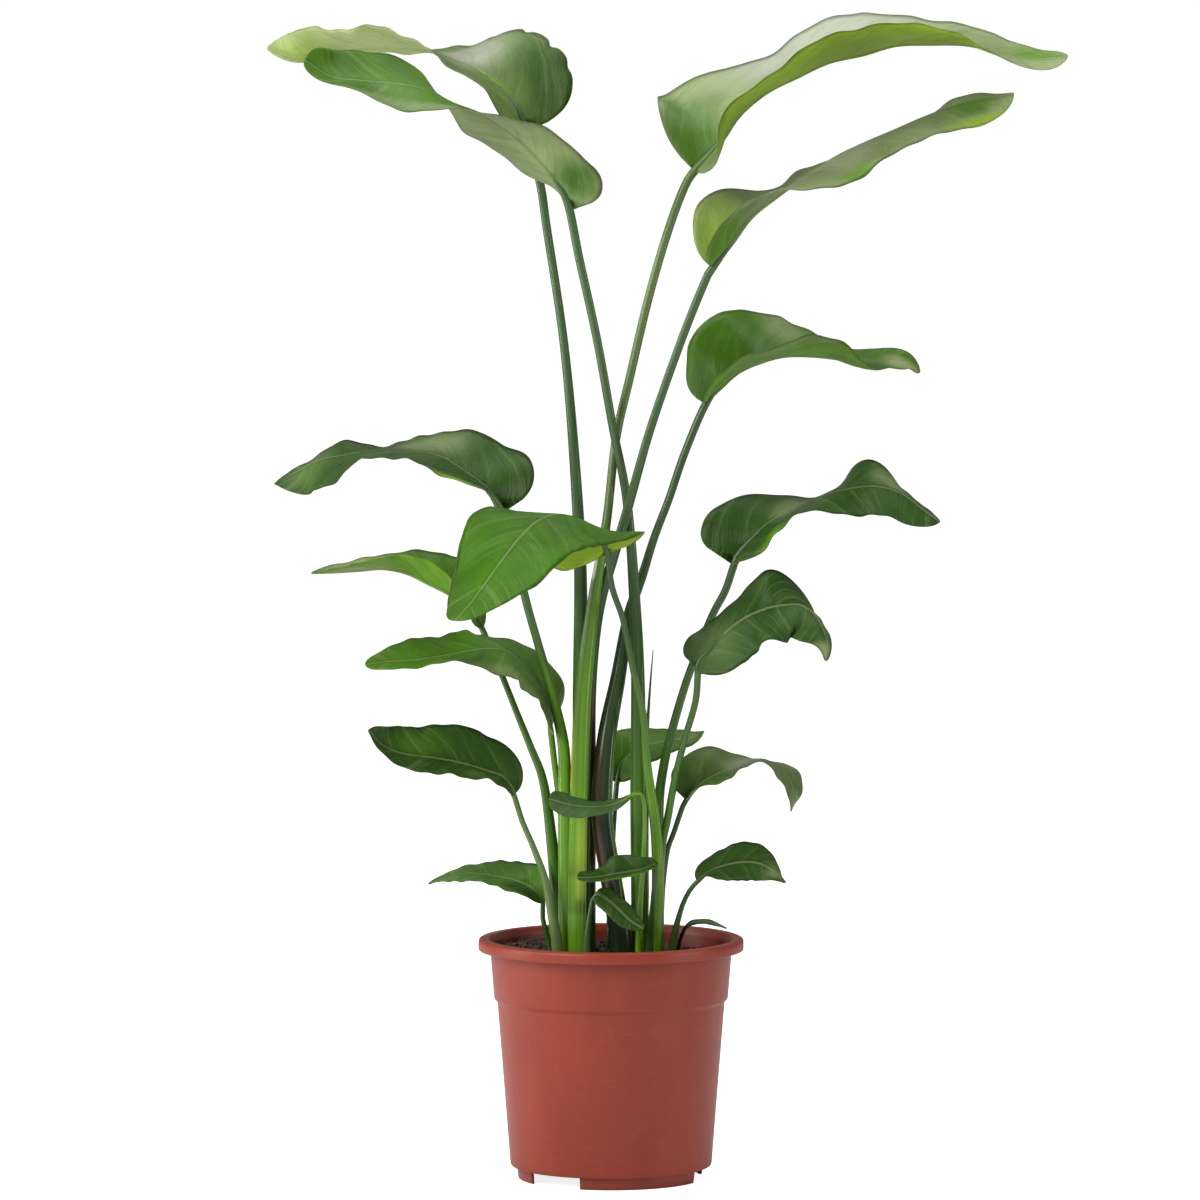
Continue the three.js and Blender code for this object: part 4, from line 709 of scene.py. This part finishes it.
def stalkMaterial(name, leaf):
    material, tree, output, position = newMaterial(name)
    around, height = mapOf(tree, "place")[1], splitOf(tree, position)[2]
    sheathTop = stalkBuild["sheathTop"]
    cloudy = noiseOf(tree, position, 22, 3)
    rising = maths(tree, "MULTIPLY_ADD", cloudy, 0.06, height)
    stalkShare = fade(tree, rising, sheathTop - 0.1, sheathTop + 0.16)
    strand = joinOf(tree, maths(tree, "MULTIPLY", around, 26.0), maths(tree, "MULTIPLY", height, 4.0))
    lines = noiseOf(tree, strand, 1.0, 2)
    base = blendOf(tree, stalkShare, colour(leaf["sheath"]), colour(leaf["petiole"], 0.9))
    dark = blendOf(tree, 1.0, base, (0.45, 0.5, 0.36, 1), "MULTIPLY")
    pale = blendOf(tree, 0.5, base, colour("silver"))
    base = blendOf(tree, fade(tree, lines, 0.52, 0.3, 0.0, 0.5), base, dark)
    base = blendOf(tree, fade(tree, lines, 0.56, 0.72, 0.0, 0.2), base, pale)
    for band in leaf.get("bands", []):
        base = bandOf(tree, around, height, base, band)
    # Browner on the stalk just above the soil
    low = fade(tree, rising, 0.25, 0.2)
    base = blendOf(tree, maths(tree, "MULTIPLY", low, 0.5), base, colour("foot_brown"))
    shine = maths(tree, "MULTIPLY_ADD", cloudy, 0.14, 0.14)
    tree.links.new(skinOf(tree, base, shine, bumpOf(tree, 0.3, lines), IOR=1.45), output.inputs["Surface"])
    return material


def makeLeaf(leaf):
    bm = newSheets()
    addBlade(bm, leaf)
    addStalk(bm, leaf)
    bmesh.ops.recalc_face_normals(bm, faces=bm.faces)
    name = leaf["name"].replace("leaf", "paddle")
    upper = bladeMaterial(name + "_upper", leaf["upper"], upperLook, leaf.get("onUpper", []))
    under = bladeMaterial(name + "_under", leaf["under"], underLook, leaf.get("onUnder", []))
    return finishPiece(bm, name, [leaf["name"]], [upper, under, stalkMaterial(name + "_stalk", leaf)])


for leaf in leaves:
    makeLeaf(leaf)
print("leaves made:", len(leaves))


# The rolled new leaf: a slim spike with a rolled edge wound round it

spear = {
    "route": [[30, 19, 158], [31, 18, 233], [31.5, 17, 304], [32, 15, 365], [33, 14, 407], [35.3, 12, 445],
              [38, 11, 478]],
    "foot": 3.2, "point": 0.4, "power": 2.2, "sides": 16, "rows": 70, "roll": 0.45, "turns": 1.6,
    "petiole": "stem", "sheath": "leaf",
}


def makeSpear():
    points = placed(spear["route"])
    shares = [i / spear["rows"] for i in range(spear["rows"] + 1)]
    places = placesAlong(points, 0, 1, shares)[0]
    rows, uvRows = [], []
    for share, place in zip(shares, places):
        size = spear["foot"] + (spear["point"] - spear["foot"]) * share ** spear["power"]
        row, uvRow = [], []
        for k in range(spear["sides"] + 1):
            part = k / spear["sides"]
            turn = 2 * math.pi * (part + spear["turns"] * share)
            ridge = size + spear["roll"] * (1 - share) * math.exp(-((part - 0.5) / 0.09) ** 2)
            row.append(place + Vector((math.cos(turn), math.sin(turn), 0)) * ridge * mm)
            uvRow.append(((share / 2, part), (place.z, 0)))
        rows.append(row)
        uvRows.append(uvRow)
    bm = newSheets()
    addTube(bm, rows, uvRows, places[0], places[-1] + up * 0.002, 0)
    bmesh.ops.recalc_face_normals(bm, faces=bm.faces)
    skin = stalkMaterial("rolled_new_leaf", spear)
    return finishPiece(bm, "rolled_new_leaf", ["new_leaf_spear"], [skin])


makeSpear()
print("new leaf made")


# Pot: a turned profile, a foot ring in arcs and drainage holes

pot = {
    "height": 218, "rimRadius": 120, "rimDrop": 10.5, "rimWall": 3, "mouthRadius": 110.4,
    "bandTopRadius": 109.6, "bandTop": 212, "bandFootRadius": 105.8, "stepHeight": 163.5, "stepDrop": 3,
    "bodyTopRadius": 102.9, "bodyFootRadius": 91.3, "floor": 11, "wall": 2,
    "footRadius": 85.5, "footWall": 3, "centreFoot": 22, "turns": 160,
    "arcs": 3, "notchDegrees": 38, "notchCentre": 231.5, "drainRadius": 6, "drainCircle": 64, "drains": 6,
    "plastic": "903622", "pale": "9e4a34", "dark": "782a1c", "soiled": "6a4a3a", "scratch": "c88a78",
}


# Rounds the corners of a profile of (radius, height, rounding) points
def roundedProfile(points, steps=4):
    made = []
    for i, (radius, height, rounding) in enumerate(points):
        here = Vector((radius, height))
        if rounding == 0 or i in (0, len(points) - 1):
            made.append(here)
            continue
        before, after = Vector(points[i - 1][:2]) - here, Vector(points[i + 1][:2]) - here
        start, end = here + before.normalized() * rounding, here + after.normalized() * rounding
        for k in range(steps + 1):
            f = k / steps
            made.append(start * (1 - f) ** 2 + here * (2 * f * (1 - f)) + end * f ** 2)
    return made


# Puts edges and faces in a fixed order, because spin makes them in one that changes from run to run
def fixOrder(bm):
    bm.verts.index_update()
    count = len(bm.verts)

    def keyOf(part):
        firstThree = sorted(vert.index for vert in part.verts)[:3]
        return sum(index * count ** place for place, index in enumerate(firstThree))

    bm.edges.sort(key=keyOf)
    bm.faces.sort(key=keyOf)


def spunProfile(bm, profile, degrees, start, steps, closed=False):
    turn = math.radians(start)
    verts = [bm.verts.new((p.x * mm * math.cos(turn), p.x * mm * math.sin(turn), p.y * mm))
             for p in profile]
    edges = [bm.edges.new(pair) for pair in zip(verts, verts[1:])]
    if closed:
        edges.append(bm.edges.new((verts[-1], verts[0])))
    bmesh.ops.spin(bm, geom=verts + edges, cent=(0, 0, 0), axis=(0, 0, 1), angle=math.radians(degrees),
                   steps=steps, use_merge=degrees == 360, use_duplicate=False)
    fixOrder(bm)


def plasticMaterial():
    material, tree, output, position = newMaterial("pot_plastic")
    flow = addNode(tree, "ShaderNodeMapping", {"Vector": position, "Scale": (1, 1, 0.35)}).outputs[0]
    cloudy = noiseOf(tree, flow, 16, 5, 0.6)
    grain = noiseOf(tree, position, 900, 2)
    dust = noiseOf(tree, position, 60, 6, 0.7)
    height = splitOf(tree, position)[2]
    base = blendOf(tree, fade(tree, cloudy, 0.3, 0.7), colour(pot["dark"], 1.25), colour(pot["plastic"]))
    dusty = maths(tree, "MULTIPLY", fade(tree, dust, 0.5, 0.8), 0.35)
    base = blendOf(tree, dusty, base, colour(pot["pale"]))
    low = fade(tree, maths(tree, "MULTIPLY_ADD", dust, 0.03, height), 0.035, 0.008)
    base = blendOf(tree, maths(tree, "MULTIPLY", low, 0.35), base, colour(pot["soiled"]))
    values = {"Vector": position, "Scale": (1, 1, 14), "Rotation": (0.5, 0.2, 0)}
    scratches = noiseOf(tree, addNode(tree, "ShaderNodeMapping", values).outputs[0], 60, 2)
    marks = fade(tree, scratches, 0.66, 0.74)
    base = blendOf(tree, maths(tree, "MULTIPLY", marks, 0.12), base, colour(pot["scratch"]))
    relief = maths(tree, "MULTIPLY_ADD", grain, 0.25, maths(tree, "MULTIPLY", cloudy, 0.6))
    shine = maths(tree, "MULTIPLY_ADD", marks, 0.12, maths(tree, "MULTIPLY_ADD", dust, 0.16, 0.32))
    skin = skinOf(tree, base, shine, bumpOf(tree, 0.25, relief), **{"Specular IOR Level": 0.35})
    tree.links.new(skin, output.inputs["Surface"])
    return material


def makePot():
    p = pot
    inner = p["wall"]
    outline = [
        (0, 0, 0), (p["centreFoot"], 0, 1), (p["centreFoot"] + 3, p["floor"], 1.5),
        (p["bodyFootRadius"] - 0.2, p["floor"], 3.2),
        (p["bodyTopRadius"], p["stepHeight"] - p["stepDrop"], 1.2),
        (p["bandFootRadius"], p["stepHeight"], 1.2), (p["bandTopRadius"], p["bandTop"] - 1, 2),
        (p["bandTopRadius"] + 1.5, p["height"] - p["rimWall"], 1.2),
        (p["rimRadius"] - p["rimWall"], p["height"] - p["rimWall"], 1),
        (p["rimRadius"] - p["rimWall"] + 0.4, p["height"] - p["rimDrop"], 0.8),
        (p["rimRadius"], p["height"] - p["rimDrop"], 1.2), (p["rimRadius"], p["height"], 3.4),
        (p["mouthRadius"], p["height"], 1.4), (p["bandTopRadius"] - inner, p["bandTop"], 1.5),
        (p["bandFootRadius"] - inner, p["stepHeight"], 1),
        (p["bodyTopRadius"] - inner, p["stepHeight"] - p["stepDrop"], 1),
        (p["bodyFootRadius"] - inner, p["floor"] + inner, 3), (p["centreFoot"] + 1, p["floor"] + inner, 1),
        (p["centreFoot"] - inner, inner, 1), (0, inner, 0),
    ]
    bm = bmesh.new()
    spunProfile(bm, roundedProfile(outline), 360, 0, p["turns"])
    foot = [
        (p["footRadius"] - p["footWall"] - 1, 0), (p["footRadius"] - 1.5, 0),
        (p["footRadius"], p["floor"] + 1),
        (p["footRadius"] - p["footWall"], p["floor"] + 1),
    ]
    arc = 360 / p["arcs"] - p["notchDegrees"]
    for i in range(p["arcs"]):
        ring = bmesh.new()
        start = p["notchCentre"] + p["notchDegrees"] / 2 + i * 360 / p["arcs"]
        spunProfile(ring, [Vector(f) for f in foot], arc, start, 36, closed=True)
        bmesh.ops.holes_fill(ring, edges=[e for e in ring.edges if e.is_boundary], sides=4)
        bmesh.ops.recalc_face_normals(ring, faces=ring.faces)
        bmesh.ops.bevel(ring, geom=[e for e in ring.edges if e.calc_face_angle(0) > 0.7], offset=0.5 * mm,
                        offset_type="OFFSET", segments=2, profile=0.5, affect="EDGES", material=-1)
        loose = meshOf(ring, "foot")
        bm.from_mesh(loose)
        bpy.data.meshes.remove(loose)
    bmesh.ops.remove_doubles(bm, verts=bm.verts, dist=1e-6)
    bmesh.ops.recalc_face_normals(bm, faces=bm.faces)
    bmesh.ops.translate(bm, vec=potAxis, verts=bm.verts)
    piece = finishPiece(bm, "nursery_pot", ["pot"], [plasticMaterial()])
    drill = bmesh.new()
    for i in range(p["drains"]):
        turn = math.radians(p["notchCentre"] + i * 360 / p["drains"])
        made = bmesh.ops.create_cone(drill, cap_ends=True, segments=32, radius1=p["drainRadius"] * mm,
                                     radius2=p["drainRadius"] * mm, depth=8 * mm)
        middle = Vector((math.cos(turn), math.sin(turn), 0)) * p["drainCircle"] * mm
        bmesh.ops.translate(drill, verts=made["verts"], vec=middle + potAxis + up * (p["floor"] + 1) * mm)
    cutter = addObject("drill", meshOf(drill, "drill"))
    cut = piece.modifiers.new("drains", "BOOLEAN")
    cut.object = cutter
    cut.operation = "DIFFERENCE"
    bpy.context.view_layer.update()
    finished = bpy.data.meshes.new_from_object(piece.evaluated_get(bpy.context.evaluated_depsgraph_get()))
    piece.modifiers.clear()
    piece.data = finished
    bpy.data.objects.remove(cutter)
    return piece


makePot()
print("pot made")


# Soil: a bumpy top on a turned body, with loose crumbs

soil = {
    "height": 203, "tilt": 0.045, "bump": 2.2, "inset": 2.6, "rings": 60, "turns": 200, "lumps": 2.4,
    "crumbs": 1500, "crumbSizes": (0.9, 3.6), "dark": "22140e", "light": "5a3a26",
    "damp": "2c1a12", "fibre": "8a6a4c",
}


def soilHeight(x, y):
    smooth = soil["height"] - soil["tilt"] * x
    smooth += soil["bump"] * math.sin(x * 0.11 + 0.6) * math.cos(y * 0.13)
    return smooth + 0.6 * soil["bump"] * math.sin(x * 0.23 - y * 0.19)


def soilMaterial():
    material, tree, output, position = newMaterial("potting_soil")
    lumps = noiseOf(tree, position, 190, 6, 0.7)
    patches = noiseOf(tree, position, 40, 4)
    values = {"Vector": position, "Scale": 420}
    fibres = addNode(tree, "ShaderNodeTexVoronoi", values).outputs["Distance"]
    base = blendOf(tree, fade(tree, lumps, 0.35, 0.7), colour(soil["dark"]), colour(soil["light"]))
    damp = maths(tree, "MULTIPLY", fade(tree, patches, 0.55, 0.7), 0.5)
    base = blendOf(tree, damp, base, colour(soil["damp"]))
    strands = maths(tree, "MULTIPLY", fade(tree, fibres, 0.16, 0.04), 0.5)
    base = blendOf(tree, strands, base, colour(soil["fibre"]))
    shine = fade(tree, patches, 0.3, 0.7, 0.6, 0.95)
    tree.links.new(skinOf(tree, base, shine, bumpOf(tree, 0.9, lumps, 0.0012)), output.inputs["Surface"])
    return material


def makeSoil():
    p, s = pot, soil
    inset = s["inset"]
    low = p["floor"] + p["wall"] + 0.4
    edge = p["bandTopRadius"] - inset - 1.2
    outline = [Vector(v) for v in (
        (0, low), (p["bodyFootRadius"] - inset - 5, low), (p["bodyFootRadius"] - inset + 0.5, low + 5),
        (p["bodyTopRadius"] - inset, p["stepHeight"] - 4),
        (p["bandFootRadius"] - inset, p["stepHeight"] + 1))]
    outline += [Vector((edge * i / s["rings"], s["height"])) for i in range(s["rings"], -1, -1)]
    bm = bmesh.new()
    spunProfile(bm, outline, 360, 0, s["turns"])
    bmesh.ops.remove_doubles(bm, verts=bm.verts, dist=1e-6)
    for vert in bm.verts:
        if vert.co.z > (s["height"] - 1) * mm:
            x, y = vert.co.x / mm, vert.co.y / mm
            spot = Vector((x, y, 0))
            lump = noise.fractal(spot * 0.09, 0.7, 2.1, 5) * s["lumps"]
            rim = max(0, math.hypot(x, y) - edge + 6) * 0.3
            vert.co.z = (soilHeight(x, y) + lump - rim) * mm
    bmesh.ops.recalc_face_normals(bm, faces=bm.faces)
    bmesh.ops.translate(bm, vec=potAxis, verts=bm.verts)
    ground = soilMaterial()
    finishPiece(bm, "potting_mix", ["soil"], [ground])
    bm = bmesh.new()
    small, large = s["crumbSizes"]
    for _ in range(s["crumbs"]):
        radius, turn = (edge - 3) * math.sqrt(random.random()), random.uniform(0, 2 * math.pi)
        x, y = radius * math.cos(turn), radius * math.sin(turn)
        size = small + (large - small) * random.random() ** 2.5
        made = bmesh.ops.create_icosphere(bm, subdivisions=1, radius=size * mm)
        shape = Vector((random.uniform(0.7, 1.3), random.uniform(0.6, 1.1), random.uniform(0.45, 0.9)))
        for vert in made["verts"]:
            rough = 1 + 0.3 * noise.noise(vert.co * 900 + Vector((x, y, 0)))
            vert.co = Vector((vert.co.x * shape.x, vert.co.y * shape.y, vert.co.z * shape.z)) * rough
        lift = Vector((x, y, soilHeight(x, y) + size * 0.25)) * mm
        bmesh.ops.translate(bm, verts=made["verts"], vec=lift + potAxis)
    return finishPiece(bm, "soil_crumbs", [], [ground])


makeSoil()
print("soil made")


# Floor and studio light

studio = {
    "fill": 0.26, "floorGlow": 0.85,
    "lights": (
        ("left_softbox", (-2.2, -2.2, 2.1), (1.6, 2.2), 84),
        ("right_strip", (2.5, -0.9, 1.1), (0.5, 2.2), 22),
        ("left_strip", (-2.5, -0.1, 0.9), (0.4, 2.2), 32),
        ("top_softbox", (0.1, 0.3, 3.0), (2.8, 2.2), 54),
    ),
}


def makeStudio():
    bm = bmesh.new()
    bmesh.ops.create_grid(bm, x_segments=1, y_segments=1, size=150)
    mesh = meshOf(bm, "floor")
    floor = addObject("floor", mesh)
    material, tree, output, position = newMaterial("floor_white")
    cloudy = noiseOf(tree, position, 1.5, 2)
    paint = blendOf(tree, cloudy, (0.86, 0.86, 0.86, 1), (0.9, 0.9, 0.9, 1))
    skin = addNode(tree, "ShaderNodeBsdfPrincipled", {"Base Color": paint, "Roughness": 0.9}).outputs[0]
    seen = addNode(tree, "ShaderNodeLightPath").outputs["Is Camera Ray"]
    strength = maths(tree, "MULTIPLY", seen, studio["floorGlow"])
    glow = addNode(tree, "ShaderNodeEmission", {"Strength": strength}).outputs[0]
    both = addNode(tree, "ShaderNodeAddShader", {0: skin, 1: glow}).outputs[0]
    tree.links.new(both, output.inputs["Surface"])
    mesh.materials.append(material)
    world = bpy.data.worlds.new("studio")
    bpy.context.scene.world = world
    world.use_nodes = True
    tree = world.node_tree
    background = tree.nodes["Background"]
    background.inputs["Color"].default_value = (1, 1, 1, 1)
    seen = addNode(tree, "ShaderNodeLightPath").outputs["Is Camera Ray"]
    strength = maths(tree, "MULTIPLY_ADD", seen, 1.02 - studio["fill"], studio["fill"])
    tree.links.new(strength, background.inputs["Strength"])
    for name, place, size, power in studio["lights"]:
        data = bpy.data.lights.new(name, "AREA")
        data.shape = "RECTANGLE"
        data.size, data.size_y = size
        data.energy = power
        light = addObject(name, data)
        light.location = place
        light.rotation_euler = (Vector((0, 0, 0.55)) - light.location).to_track_quat("-Z", "Y").to_euler()
    bpy.context.scene.view_settings.view_transform = "Standard"


makeStudio()
print("studio made")
